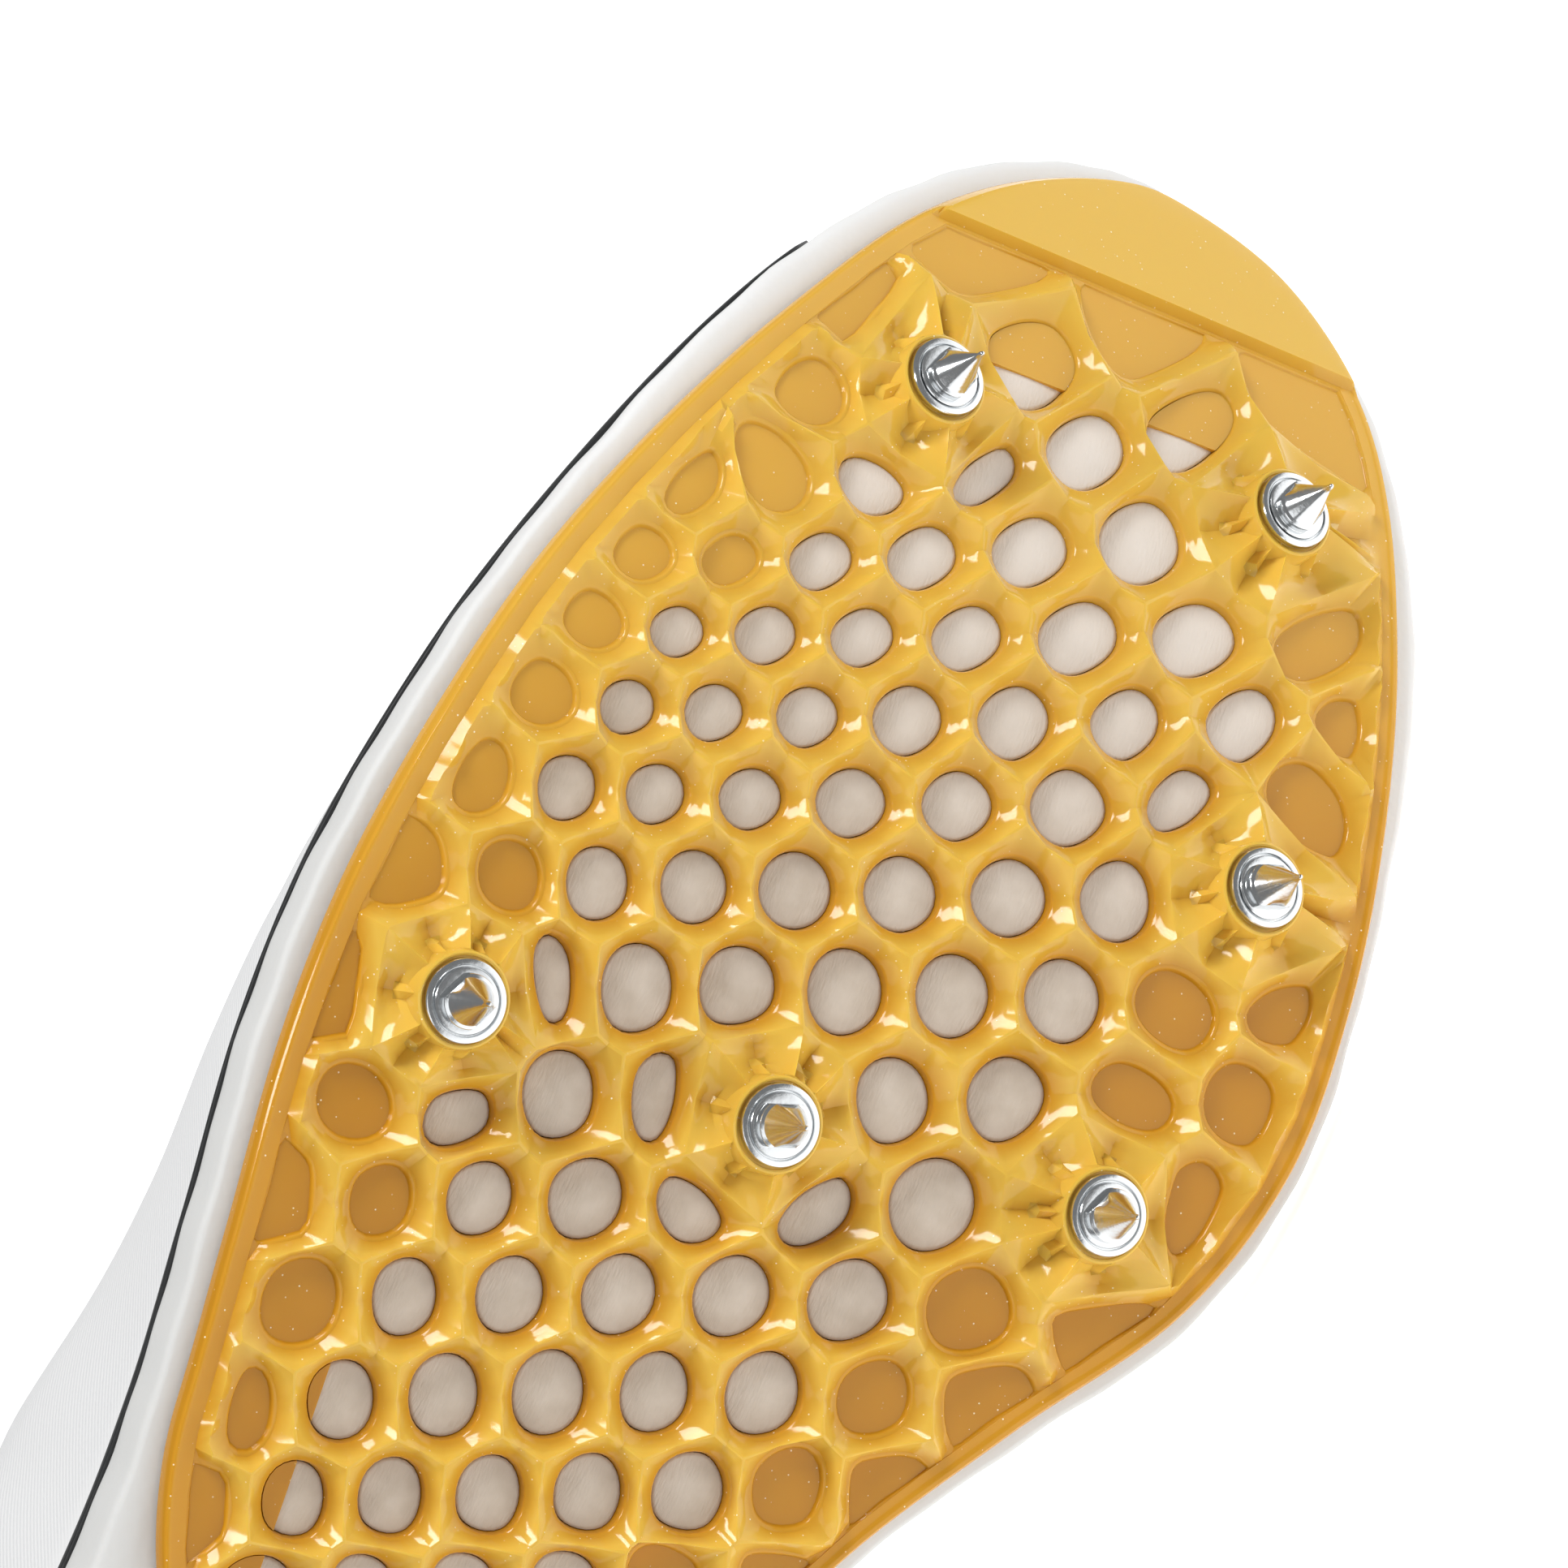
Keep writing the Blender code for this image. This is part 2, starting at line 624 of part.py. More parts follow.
def spikes():
    """Six spikes, each seated on its boss and square to the sole line."""
    points, faces = spike_mesh()
    made = []
    for number, (along, across, turn) in enumerate(SPIKES, 1):
        a = along * sole_length()
        y = across * BALL_WIDTH
        seat = Vector(sole_point(a, y, -BOSS_HEIGHT - GAP))
        down = (Vector(sole_point(a, y, -1.0)) - Vector(sole_point(a, y, 0.0))).normalized()
        front = Vector((-down.z, 0, down.x))
        angle = math.radians(turn)
        flat = front * math.cos(angle) + Vector((0, 1, 0)) * math.sin(angle)
        other = down.cross(flat)
        spike = new_object(f"spike_{number}", points, faces, "spike")
        turned = Matrix((flat, other, down)).transposed().to_4x4()
        spike.matrix_world = Matrix.Translation(seat) @ turned
        made.append(spike)
    return made


def under_height(along):
    """Height of the midsole's underside over the sole line.

    It lies on the plate in front, and comes down to the floor level behind the plate's tail.
    """
    level = sole_point(along, 0.0, 0.0)[..., 2]
    share = smooth((PLATE_TAIL - RAMP_START - along) / RAMP_LENGTH)
    bevel = HEEL_BEVEL * smooth((BEVEL_LENGTH - along) / BEVEL_LENGTH)
    return GAP * (1 - share) + (bevel - level) * share


def midsole():
    """Foam midsole from heel to toe, with a soft side and a pocket for the felt board."""
    levels = []
    for share, bulge in SIDE_PROFILE:
        edge = outline(SOLE_STEPS, SOLE_BULGE * bulge)
        if share == 0.0:
            heel = smooth((PLATE_TAIL - edge[:, :, 0]) / RAMP_LENGTH)[:, :, None]
            edge = edge * (1 - heel) + outline(SOLE_STEPS, -HEEL_EDGE_ROUND) * heel
        low = under_height(edge[:, :, 0])
        high = stack_height(edge[:, :, 0])
        levels.append(sole_point(edge[:, :, 0], edge[:, :, 1], low + (high - low) * share))
    body = stacked_solid("midsole", levels, "midsole")
    pocket = felt("felt_pocket", GAP, -2 * GAP)
    pocket.hide_render = True
    pocket.display_type = "WIRE"
    cut = body.modifiers.new("pocket", "BOOLEAN")
    cut.object = pocket
    cut.operation = "DIFFERENCE"
    return body, pocket


def felt(name, grow, bottom):
    """Felt board behind the plate's open cells, or the room that it needs in the midsole."""
    edge = plate_sides(FELT_INSET - grow, FELT_STEPS)
    behind = (edge[:, :, 0] < FELT_FRONT * sole_length() + grow).all(axis=0)
    edge = edge[:, behind]
    nose = np.repeat(edge[:, -1].mean(axis=0)[None, None], 2, axis=0)
    edge = np.concatenate([edge, nose], axis=1)
    levels = [sole_point(edge[:, :, 0], edge[:, :, 1], up)
              for up in (GAP + bottom, GAP + FELT_THICKNESS + grow)]
    return stacked_solid(name, levels, "felt")


def insole():
    """Thin insole that lies in the upper, on the midsole."""
    inset = UPPER_INSET + UPPER_WALL + 2 * GAP
    levels = []
    for up_edge in (0.0, 1.0):
        edge = outline(SOLE_STEPS, -inset - INSOLE_BEVEL * up_edge)
        up = stack_height(edge[:, :, 0]) + GAP + INSOLE_THICKNESS * up_edge
        levels.append(sole_point(edge[:, :, 0], edge[:, :, 1], up))
    return stacked_solid("insole", levels, "insole")


def section(along, edge_y, middle_y, angle, inward=0.0):
    """Point of the upper at an angle of 0 at the sole edge and 90 on the crest.

    across = middle + half width * cos(angle) ^ r and up = rise * sin(angle) ^ r, with the
    heel drawn in towards the top.
    """
    rows = np.array(SECTIONS)
    share = along / sole_length()
    rise = np.interp(share, rows[:, 0], rows[:, 1]) * INSTEP_HEIGHT - inward
    half = edge_y - middle_y
    half = half - np.sign(half) * inward
    angle = np.radians(angle)
    across = middle_y + half * np.cos(angle) ** SECTION_ROUNDNESS
    up = rise * np.sin(angle) ** SECTION_ROUNDNESS
    height = up / INSTEP_HEIGHT
    heel = smooth((HEEL_SHARE - share) / HEEL_SHARE)
    shift = (HEEL_CURVE * height ** 2 - HEEL_BELLY * np.sin(np.pi * np.clip(height, 0, 1))) * heel
    return sole_point(along + shift, across, stack_height(along) + GAP + up)


def crest_line(along):
    """Middle of the foot at a place along the sole: halfway between the two edges."""
    edge = outline(200)
    outer = np.interp(along, edge[0, :, 0], edge[0, :, 1])
    inner = np.interp(along, edge[1, :, 0], edge[1, :, 1])
    return (outer + inner) / 2


def upper():
    """One hollow shell: closed over the toe, open at the throat, collar and underneath."""
    rows = np.array(SECTIONS)
    steps = SOLE_STEPS
    edge = outline(steps, -UPPER_INSET)
    columns = WALL_STEPS + 1
    points, index, faces, known = [], {}, [], {}
    for side in (0, 1):
        for i in range(steps + 1):
            along, edge_y = edge[side, i]
            middle = crest_line(edge[:, i, 0].mean())
            share = along / sole_length()
            wrap = float(np.interp(share, rows[:, 0], rows[:, 2]))
            for k in range(columns):
                angle = wrap * k / WALL_STEPS
                place = section(along, edge_y, middle, angle)
                if k == WALL_STEPS and wrap > 89.9 or i in (0, steps):
                    key = (i, k)
                else:
                    key = (side, i, k)
                if key not in known:
                    known[key] = len(points)
                    points.append(place)
                index[side, i, k] = known[key]
    for side in (0, 1):
        for i in range(steps):
            for k in range(WALL_STEPS):
                corners = [index[side, i, k], index[side, i + 1, k],
                           index[side, i + 1, k + 1], index[side, i, k + 1]]
                corners = tuple(dict.fromkeys(corners))
                faces.append(corners if side == 0 else corners[::-1])
    shell = new_object("upper", points, faces, "upper", sharp=60)
    wall = shell.modifiers.new("wall", "SOLIDIFY")
    wall.thickness = UPPER_WALL
    wall.offset = -1
    return shell


def arch_strip(name, stations, half_wrap, inward, thickness, finish):
    """Padded sheet that follows the upper's sections over the crest of the foot."""
    columns = 9
    angles = np.concatenate([np.linspace(half_wrap, 90, columns // 2 + 1),
                             np.linspace(90, half_wrap, columns // 2 + 1)[1:]])
    sides = [0] * (columns // 2 + 1) + [1] * (columns // 2)
    edge = outline(200, -UPPER_INSET)
    layers = []
    for depth in (inward, inward + thickness):
        for along in stations:
            middle = crest_line(along)
            for angle, side in zip(angles, sides):
                edge_y = float(np.interp(along, edge[side, :, 0], edge[side, :, 1]))
                layers.append(section(along, edge_y, middle, angle, depth))
    rows = len(stations)
    faces = []
    for i in range(rows - 1):
        for k in range(columns - 1):
            a = i * columns + k
            quad = (a, a + 1, a + columns + 1, a + columns)
            faces.append(quad)
            faces.append(tuple(q + rows * columns for q in quad)[::-1])
    rim = [k for k in range(columns)]
    rim += [i * columns + columns - 1 for i in range(1, rows)]
    rim += [(rows - 1) * columns + k for k in range(columns - 2, -1, -1)]
    rim += [i * columns for i in range(rows - 2, 0, -1)]
    for i, a in enumerate(rim):
        b = rim[(i + 1) % len(rim)]
        faces.append((b, a, a + rows * columns, b + rows * columns))
    return new_object(name, layers, faces, finish, sharp=60)


def tongue():
    """Padded tongue under the throat, standing a little above the collar."""
    stations = np.linspace(*TONGUE_ENDS, 10) * sole_length()
    depth = UPPER_WALL + TONGUE_CLEARANCE
    return arch_strip("tongue", stations, TONGUE_WRAP, depth, TONGUE_THICKNESS, "tongue")


def lace_strap(name, start, end):
    """One flat run of lace from an outer place to an inner place, over the crest."""
    steps = 6
    edge = outline(200, -UPPER_INSET)
    points = []
    for i in range(steps + 1):
        f = i / steps
        along = start + (end - start) * f
        middle = crest_line(along)
        side = 0 if f < 0.5 else 1
        edge_y = float(np.interp(along, edge[side, :, 0], edge[side, :, 1]))
        angle = 90 - abs(1 - 2 * f) * (90 - LACE_WRAP)
        for width, depth in ((-1, 0), (1, 0), (1, 1), (-1, 1)):
            place = along + width * LACE_WIDTH / 2
            points.append(section(place, edge_y, middle, angle, -LACE_LIFT - depth * LACE_THICKNESS))
    faces = [(0, 1, 2, 3), tuple(steps * 4 + k for k in (3, 2, 1, 0))]
    for i in range(steps):
        for k in range(4):
            j = (k + 1) % 4
            faces.append((i * 4 + k, i * 4 + j, (i + 1) * 4 + j, (i + 1) * 4 + k))
    return new_object(name, points, faces, "lace")


def laces():
    """Crossed runs of flat lace, joined where they cross and at the eyelet rows."""
    rows = np.linspace(*LACE_ENDS, LACE_ROWS) * sole_length()
    first = lace_strap("lace_crossings", rows[-1], rows[-1])
    cutters = []
    for i in range(LACE_ROWS - 1):
        cutters.append(lace_strap(f"lace_run_{i}_a", rows[i], rows[i + 1]))
        cutters.append(lace_strap(f"lace_run_{i}_b", rows[i + 1], rows[i]))
    for run in cutters:
        run.hide_render = True
        run.display_type = "WIRE"
        join = first.modifiers.new(run.name, "BOOLEAN")
        join.object = run
        join.operation = "UNION"
    return first, cutters


def resting_turn(objects):
    """Turn and shift that lay the shoe on its inner side, on the faces it rests on.

    The floor is the side of the shoe's convex hull nearest to the balance point.
    """
    points, weighted, total = [], Vector(), 0.0
    for made in objects:
        mesh = made.data
        place = made.matrix_world
        corners = [place @ v.co for v in mesh.vertices]
        points += corners
        mesh.calc_loop_triangles()
        density = MATERIALS[mesh.materials[0].name][3]
        for triangle in mesh.loop_triangles:
            a, b, c = (corners[i] for i in triangle.vertices)
            mass = density * a.dot(b.cross(c)) / 6
            weighted += mass * (a + b + c) / 4
            total += mass
    balance = weighted / total
    hull = bmesh.new()
    for p in points:
        hull.verts.new(p)
    bmesh.ops.convex_hull(hull, input=hull.verts)
    inner_side = [f for f in hull.faces if f.normal.y > 0.8 and f.calc_area() > GAP ** 2]
    floor = min(inner_side, key=lambda f: f.normal.dot(f.verts[0].co - balance))
    down = floor.normal.copy()
    hull.free()
    up = -down
    front = (Vector((1, 0, 0)) - down * down.x).normalized()
    back = up.cross(front)
    turned = Matrix((front, back, up))
    laid = np.array([turned @ p for p in points])
    low, high = laid.min(axis=0), laid.max(axis=0)
    shift = -Vector(((low[0] + high[0]) / 2, (low[1] + high[1]) / 2, low[2]))
    return Matrix.Translation(shift) @ turned.to_4x4()


def evaluated_copy(made):
    """Apply an object's modifiers to its mesh, so that the balance point counts them."""
    graph = bpy.context.evaluated_depsgraph_get()
    mesh = bpy.data.meshes.new_from_object(made.evaluated_get(graph), depsgraph=graph)
    made.modifiers.clear()
    made.data = mesh


def build():
    """Make every piece, then lay the shoe on its inner side under one parent."""
    for old in list(bpy.data.objects):
        bpy.data.objects.remove(old, do_unlink=True)
    body, pocket = midsole()
    lace, runs = laces()
    shell = upper()
    pieces = [spike_plate(), *spikes(), felt("felt_board", 0.0, 0.0), body, shell,
              tongue(), insole(), lace]
    bpy.context.view_layer.update()
    for made in (body, shell, lace):
        evaluated_copy(made)
    for helper in (pocket, *runs):
        bpy.data.objects.remove(helper, do_unlink=True)
    parent = bpy.data.objects.new("shoe", None)
    bpy.context.scene.collection.objects.link(parent)
    turn = resting_turn(pieces)
    for made in pieces:
        made.parent = parent
    parent.matrix_world = turn


build()
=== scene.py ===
# Looks of a right track spike shoe that lies on its inner side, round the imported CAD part.
# Lengths are in metres. Upright, x runs to the toe, y to the inner side and z up; the shoe
# is then laid on its inner side. A place on the sole is (along, across, up).
import math

import bmesh
import bpy
import numpy as np
from mathutils import Matrix, Vector
from mathutils.geometry import delaunay_2d_cdt


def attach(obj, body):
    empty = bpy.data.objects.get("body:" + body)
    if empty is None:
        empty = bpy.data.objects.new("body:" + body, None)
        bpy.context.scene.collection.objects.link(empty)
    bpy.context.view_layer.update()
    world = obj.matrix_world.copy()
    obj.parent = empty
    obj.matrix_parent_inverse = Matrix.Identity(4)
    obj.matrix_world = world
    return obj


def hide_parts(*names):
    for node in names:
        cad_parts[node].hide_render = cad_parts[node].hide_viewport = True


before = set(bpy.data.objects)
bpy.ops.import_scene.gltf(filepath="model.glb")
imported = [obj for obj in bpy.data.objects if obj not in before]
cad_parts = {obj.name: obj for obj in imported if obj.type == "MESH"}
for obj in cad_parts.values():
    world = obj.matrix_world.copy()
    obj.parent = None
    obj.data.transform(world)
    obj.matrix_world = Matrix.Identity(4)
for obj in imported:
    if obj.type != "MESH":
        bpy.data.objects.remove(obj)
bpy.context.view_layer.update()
print("frame loaded")

# Sizes that the pieces share, the same as in the CAD part
shoe = {
    "length": 0.2826,
    "ballWidth": 0.099,
    "instep": 0.062,
    "springStart": 0.176,  # the sole line is level to here, then an arc to the toe
    "springRadius": 0.188,
    "archRise": 0.005,
    "archFront": 0.165,
    "archBack": 0.103,
    "bed": 0.0133,
    "foreStack": 0.0075,
    "heelStack": 0.0127,
    "stackBack": 0.20,
    "stackFront": 0.66,
    "wall": 0.0016,
    "upperInset": 0.0004,
    "heelCurve": 0.007,
    "heelBelly": 0.003,
    "heelShare": 0.16,
    "seam": 0.0003,  # the upper's edge above the midsole's top
    "smoothing": 0.018,  # share along, to each side
}
shoe["soleLength"] = shoe["springStart"] + shoe["springRadius"] * math.asin(
    (shoe["length"] - shoe["springStart"]) / shoe["springRadius"])

# Turn and shift with which the shoe comes to rest on its inner side
lying = {"tip": 13.6296, "yaw": 6.3556, "shift": (-0.141354, -0.043490, 0.032653)}

# Edge of the sole: along as a share of the sole line, outer and inner of ballWidth
soleEdge = [
    (0.000, -0.070, -0.070), (0.012, -0.245, 0.115), (0.035, -0.325, 0.195), (0.080, -0.378, 0.240),
    (0.150, -0.392, 0.255), (0.225, -0.385, 0.230), (0.315, -0.375, 0.188), (0.395, -0.383, 0.176),
    (0.452, -0.406, 0.195), (0.511, -0.445, 0.250), (0.570, -0.482, 0.345), (0.629, -0.497, 0.452),
    (0.688, -0.484, 0.500), (0.748, -0.450, 0.498), (0.809, -0.388, 0.475), (0.872, -0.302, 0.437),
    (0.926, -0.208, 0.386), (0.966, -0.107, 0.320), (0.993, 0.005, 0.215), (1.000, 0.090, 0.090),
]

# Sections of the upper: along, crest height as a share of instep, angle where the wall stops
upperSections = np.array([
    (0.000, 1.16, 56), (0.040, 1.15, 56), (0.100, 1.10, 54), (0.180, 1.02, 51), (0.260, 1.00, 50),
    (0.330, 1.06, 54), (0.380, 1.08, 61), (0.430, 1.02, 69), (0.500, 0.89, 72), (0.580, 0.75, 75),
    (0.640, 0.65, 80), (0.665, 0.62, 90), (0.720, 0.54, 90), (0.800, 0.45, 90), (0.880, 0.37, 90),
    (0.940, 0.30, 90), (0.975, 0.24, 90), (1.000, 0.15, 90),
])

# Rows of cells, toe to heel, each from the outer to the inner side; bow and crowd bend the spacing
cellRows = [
    # along outer, along inner, bow, across outer, across inner, crowd, count, blind outer, blind inner
    (0.878, 0.935, 0.000, -0.222, -0.120, 0.000, 2, 1, 1),
    (0.837, 0.936, 0.051, -0.336, 0.072, 0.048, 5, 2, 1),
    (0.780, 0.946, 0.084, -0.420, 0.270, 0.140, 8, 3, 1),
    (0.755, 0.891, 0.074, -0.428, 0.252, 0.207, 8, 3, 0),
    (0.738, 0.862, 0.048, -0.375, 0.346, 0.232, 8, 1, 1),
    (0.709, 0.842, 0.058, -0.391, 0.410, 0.229, 9, 1, 1),
    (0.676, 0.806, 0.055, -0.418, 0.377, 0.207, 9, 1, 1),
    (0.638, 0.761, 0.026, -0.438, 0.340, 0.171, 9, 2, 0),
    (0.597, 0.734, 0.007, -0.452, 0.432, 0.168, 10, 1, 2),
    (0.565, 0.704, 0.020, -0.386, 0.430, 0.172, 9, 1, 2),
    (0.530, 0.662, 0.032, -0.418, 0.412, 0.192, 9, 2, 1),
    (0.503, 0.614, 0.000, -0.352, 0.370, 0.152, 8, 1, 2),
    (0.464, 0.574, -0.010, -0.358, 0.300, 0.088, 8, 1, 2),
    (0.433, 0.533, 0.005, -0.352, 0.250, 0.042, 8, 1, 2),
    (0.404, 0.492, 0.004, -0.335, 0.190, 0.030, 7, 1, 2),
    (0.378, 0.440, 0.000, -0.270, 0.110, 0.000, 5, 3, 2),
]

# Spikes: along, across, direction of the wrench flats in degrees
spikePlaces = [
    (0.868, -0.143, -69), (0.892, 0.255, -69), (0.764, 0.342, -24),
    (0.608, -0.360, -69), (0.620, -0.028, -24), (0.644, 0.314, -69),
]


# 3t^2 - 2t^3 between 0 and 1, level at both ends.
def ease(t):
    t = np.clip(t, 0, 1)
    return t * t * (3 - 2 * t)


# Turn upright points to the resting shoe: up is the side's direction, tipped and yawed.
def lay(points):
    tip, yaw = math.radians(lying["tip"]), math.radians(lying["yaw"])
    up = np.array([math.sin(yaw) * math.cos(tip), -math.cos(yaw) * math.cos(tip), -math.sin(tip)])
    front = np.array([1.0, 0.0, 0.0]) - up * up[0]
    front /= np.linalg.norm(front)
    turn = np.array([front, np.cross(up, front), up])
    return np.asarray(points) @ turn.T + np.array(lying["shift"])


# Sole line level to springStart, then an arc; up stands square to it, with the arch's lean.
def uprightPoint(along, across, up):
    along, across, up = np.broadcast_arrays(along, across, up)
    turn = np.maximum(along - shoe["springStart"], 0) / shoe["springRadius"]
    reach = shoe["archFront"] - shoe["archBack"]
    arch = np.clip((shoe["archFront"] - along) / reach, 0, 1)
    lean = turn - np.arctan(6 * arch * (1 - arch) * shoe["archRise"] / reach)
    x = np.minimum(along, shoe["springStart"]) + shoe["springRadius"] * np.sin(turn) - up * np.sin(lean)
    z = shoe["bed"] + shoe["springRadius"] * (1 - np.cos(turn)) + shoe["archRise"] * ease(arch)
    return np.stack([x, across, z + up * np.cos(lean)], axis=-1)


# A place on the sole in the row frame.
def solePoint(along, across, up):
    return lay(uprightPoint(along, across, up))


# Closed Catmull-Rom curve through the sole's edge; gives its outer and inner side, heel to toe.
def soleSides(steps, outset=0.0):
    rows = np.array(soleEdge) * (shoe["soleLength"], shoe["ballWidth"], shoe["ballWidth"])
    ring = np.vstack([rows[:, [0, 1]], rows[-2:0:-1, [0, 2]]])
    spans = len(rows) - 1
    walk = np.linspace(0, spans, steps + 1)
    sides = []
    for t, shift in zip((walk, 2 * spans - walk), np.broadcast_to(outset, (2, steps + 1, 1))):
        index = np.floor(t).astype(int)
        f = (t - index)[:, None]
        a, b, c, d = (ring[(index + k) % len(ring)] for k in (-1, 0, 1, 2))
        place = b + f * ((c - a) + f * (2 * a - 5 * b + 4 * c - d + f * (3 * (b - c) + d - a))) / 2
        heading = (c - a) + f * (2 * (2 * a - 5 * b + 4 * c - d) + f * 3 * (3 * (b - c) + d - a))
        normal = np.stack([heading[:, 1], -heading[:, 0]], axis=1)
        sides.append(place + shift * normal / np.linalg.norm(normal, axis=1)[:, None])
    return np.array(sides)


sideCurves = soleSides(400)


# Place across of the sole's outer (0) or inner (1) edge.
def edgeAcross(along, side):
    return np.interp(along, sideCurves[side, :, 0], sideCurves[side, :, 1])


# Top of the midsole over the sole line: thin in front, eased up to the heel.
def stackHeight(along):
    share = ease((shoe["stackFront"] - along / shoe["soleLength"]) / (shoe["stackFront"] - shoe["stackBack"]))
    return shoe["foreStack"] + (shoe["heelStack"] - shoe["foreStack"]) * share


# Column of upperSections at places along, as the mean of nine places over the smoothing reach.
def sectionValue(along, column):
    near = np.linspace(-shoe["smoothing"], shoe["smoothing"], 9)
    share = np.asarray(along)[..., None] / shoe["soleLength"] + near
    return np.interp(share, upperSections[:, 0], upperSections[:, column]).mean(axis=-1)


# Point of the upper from its station on the sole's edge and the middle there:
# across = middle + half width * cos^0.9 and up = rise * sin^0.9 of an angle, 0 at the edge and 90 on the crest.
def upperSection(along, edge, middle, angle, outward=0.0):
    half = edge - middle
    half = half + np.sign(half) * outward
    rise = sectionValue(along, 1) * shoe["instep"] + outward
    turn = np.radians(angle)
    up = rise * np.sin(turn) ** 0.9
    heel = ease((shoe["heelShare"] - along / shoe["soleLength"]) / shoe["heelShare"])
    height = up / shoe["instep"]
    belly = shoe["heelBelly"] * np.sin(np.pi * np.clip(height, 0, 1))
    shift = (shoe["heelCurve"] * height ** 2 - belly) * heel
    across = middle + half * np.maximum(np.cos(turn), 0) ** 0.9
    return solePoint(along + shift, across, stackHeight(along) + shoe["seam"] + up)


# The same by side, 0 outer or 1 inner, with the edge and the middle found at the place along.
def upperPoint(along, side, angle, outward=0.0):
    along, angle = np.broadcast_arrays(np.asarray(along, float), np.asarray(angle, float))
    outer, inner = edgeAcross(along, 0) + shoe["upperInset"], edgeAcross(along, 1) - shoe["upperInset"]
    edge = np.where(np.asarray(side) == 0, outer, inner)
    return upperSection(along, edge, (outer + inner) / 2, angle, outward)


# Stations of the upper's lower edge, one side after the other, joined at heel and toe.
def upperStations(steps):
    walk = soleSides(steps, -shoe["upperInset"])
    walk[:, 0] = walk[:, 0].mean(axis=0)
    walk[:, -1] = walk[:, -1].mean(axis=0)
    return walk, walk[:, :, 1].mean(axis=0), sectionValue(walk[:, :, 0].mean(axis=0), 2)


# Mesh object from points and faces, welded, turned outwards and shaded smooth.
def makePiece(name, points, faces, material, sharp=None, attributes=None, weld=0.0):
    mesh = bpy.data.meshes.new(name)
    mesh.from_pydata(np.asarray(points).tolist(), [], [tuple(f) for f in faces])
    for key, values in (attributes or {}).items():
        values = np.asarray(values, np.float32)
        kind = "FLOAT_VECTOR" if values.ndim == 2 else "FLOAT"
        made = mesh.attributes.new(key, kind, "POINT")
        made.data.foreach_set("vector" if values.ndim == 2 else "value", values.ravel())
    shape = bmesh.new()
    shape.from_mesh(mesh)
    if weld:
        bmesh.ops.remove_doubles(shape, verts=shape.verts, dist=weld)
    bmesh.ops.recalc_face_normals(shape, faces=shape.faces)
    if shape.calc_volume(signed=True) < 0:
        bmesh.ops.reverse_faces(shape, faces=shape.faces)
    loose = [v for v in shape.verts if not v.link_faces]
    bmesh.ops.delete(shape, geom=loose, context="VERTS")
    shape.to_mesh(mesh)
    shape.free()
    mesh.materials.append(material)
    mesh.shade_smooth()
    if sharp:
        mesh.set_sharp_from_angle(angle=math.radians(sharp))
    made = bpy.data.objects.new(name, mesh)
    bpy.context.scene.collection.objects.link(made)
    return made


# Quads of a grid of points, row after row.
def gridFaces(rows, columns, wrapRows=False, wrapColumns=False, first=0):
    i, k = np.meshgrid(np.arange(rows - (not wrapRows)), np.arange(columns - (not wrapColumns)), indexing="ij")
    j, m = (i + 1) % rows, (k + 1) % columns
    corners = [i * columns + k, i * columns + m, j * columns + m, j * columns + k]
    return (np.stack(corners, -1).reshape(-1, 4) + first).tolist()


# The first and the last ring of such a grid, as the two faces that close its ends.
def endFaces(rows, columns, first=0):
    ring = range(first, first + columns)
    return [tuple(ring), tuple(k + (rows - 1) * columns for k in reversed(ring))]


# Two sides joined at the heel: from the outer one's front round to the inner one's.
def aroundHeel(outer, inner):
    return np.concatenate([outer[::-1], inner[1:]])


# sRGB hex to linear RGBA.
def colour(code):
    parts = np.array([int(code[i:i + 2], 16) for i in (1, 3, 5)]) / 255
    linear = np.where(parts <= 0.04045, parts / 12.92, ((parts + 0.055) / 1.055) ** 2.4)
    return (*linear.tolist(), 1.0)


# Empty Principled material; gives it, its tree and its shader.
def newMaterial(name):
    material = bpy.data.materials.new(name)
    material.use_nodes = True
    return material, material.node_tree, material.node_tree.nodes["Principled BSDF"]


# Add one shader node with its settings, and link or set its inputs.
def addNode(tree, kind, inputs=None, **settings):
    made = tree.nodes.new("ShaderNode" + kind)
    for key, value in settings.items():
        setattr(made, key, value)
    setInputs(tree, made, inputs or {})
    return made


# Link sockets that come from a node, and set the others as values.
def setInputs(tree, made, inputs):
    for key, value in inputs.items():
        if isinstance(value, bpy.types.NodeSocket):
            tree.links.new(value, made.inputs[key])
        else:
            made.inputs[key].default_value = value


# Injection-moulded clear nylon tinted amber: glossy and lit from within, paler on its thick
# crests than on its thin floors, and with a few fine flakes. The paler crests and nodes are painted highlight,
# the darker low floors and hole walls painted shade, the paler floors towards the toe painted light, and the
# flakes' pale spots are also a painted glint for their sparkle
resin = {
    # thin is painted shade for the low floors and hole walls, thick a painted highlight for the raised crests
    # and nodes
    "thin": "#BC8014", "thinCloud": "#C98F22", "thinPaintedLight": "#DCA93C",
    "middle": "#D09424", "middlePaintedLight": "#E0AE42", "thick": "#E3B94C",
    "shadedFloorDepth": 1.62, "middleDepth": 1.84, "highlightCrestDepth": 3.2,  # mm below the sole line
    # the two toe tones are painted light: the floors are paler towards the toe and the outer side
    "paleStart": 0.200, "paleEnd": 0.242, "paleAcross": -0.6,  # of along + paleAcross * across, in metres
    "rough": 0.12,
    "glow": 0.25,
    "reach": 0.0012,
    "flake": 0.5,  # mm between flakes, each about 0.07 mm, coarser than the real ones to show
    # the flake tone is the flake and also a painted glint for its sparkle
    "flakeAndGlintTone": "#FFF3CF", "flakeRare": 0.86, "flakeSize": 0.17,
}


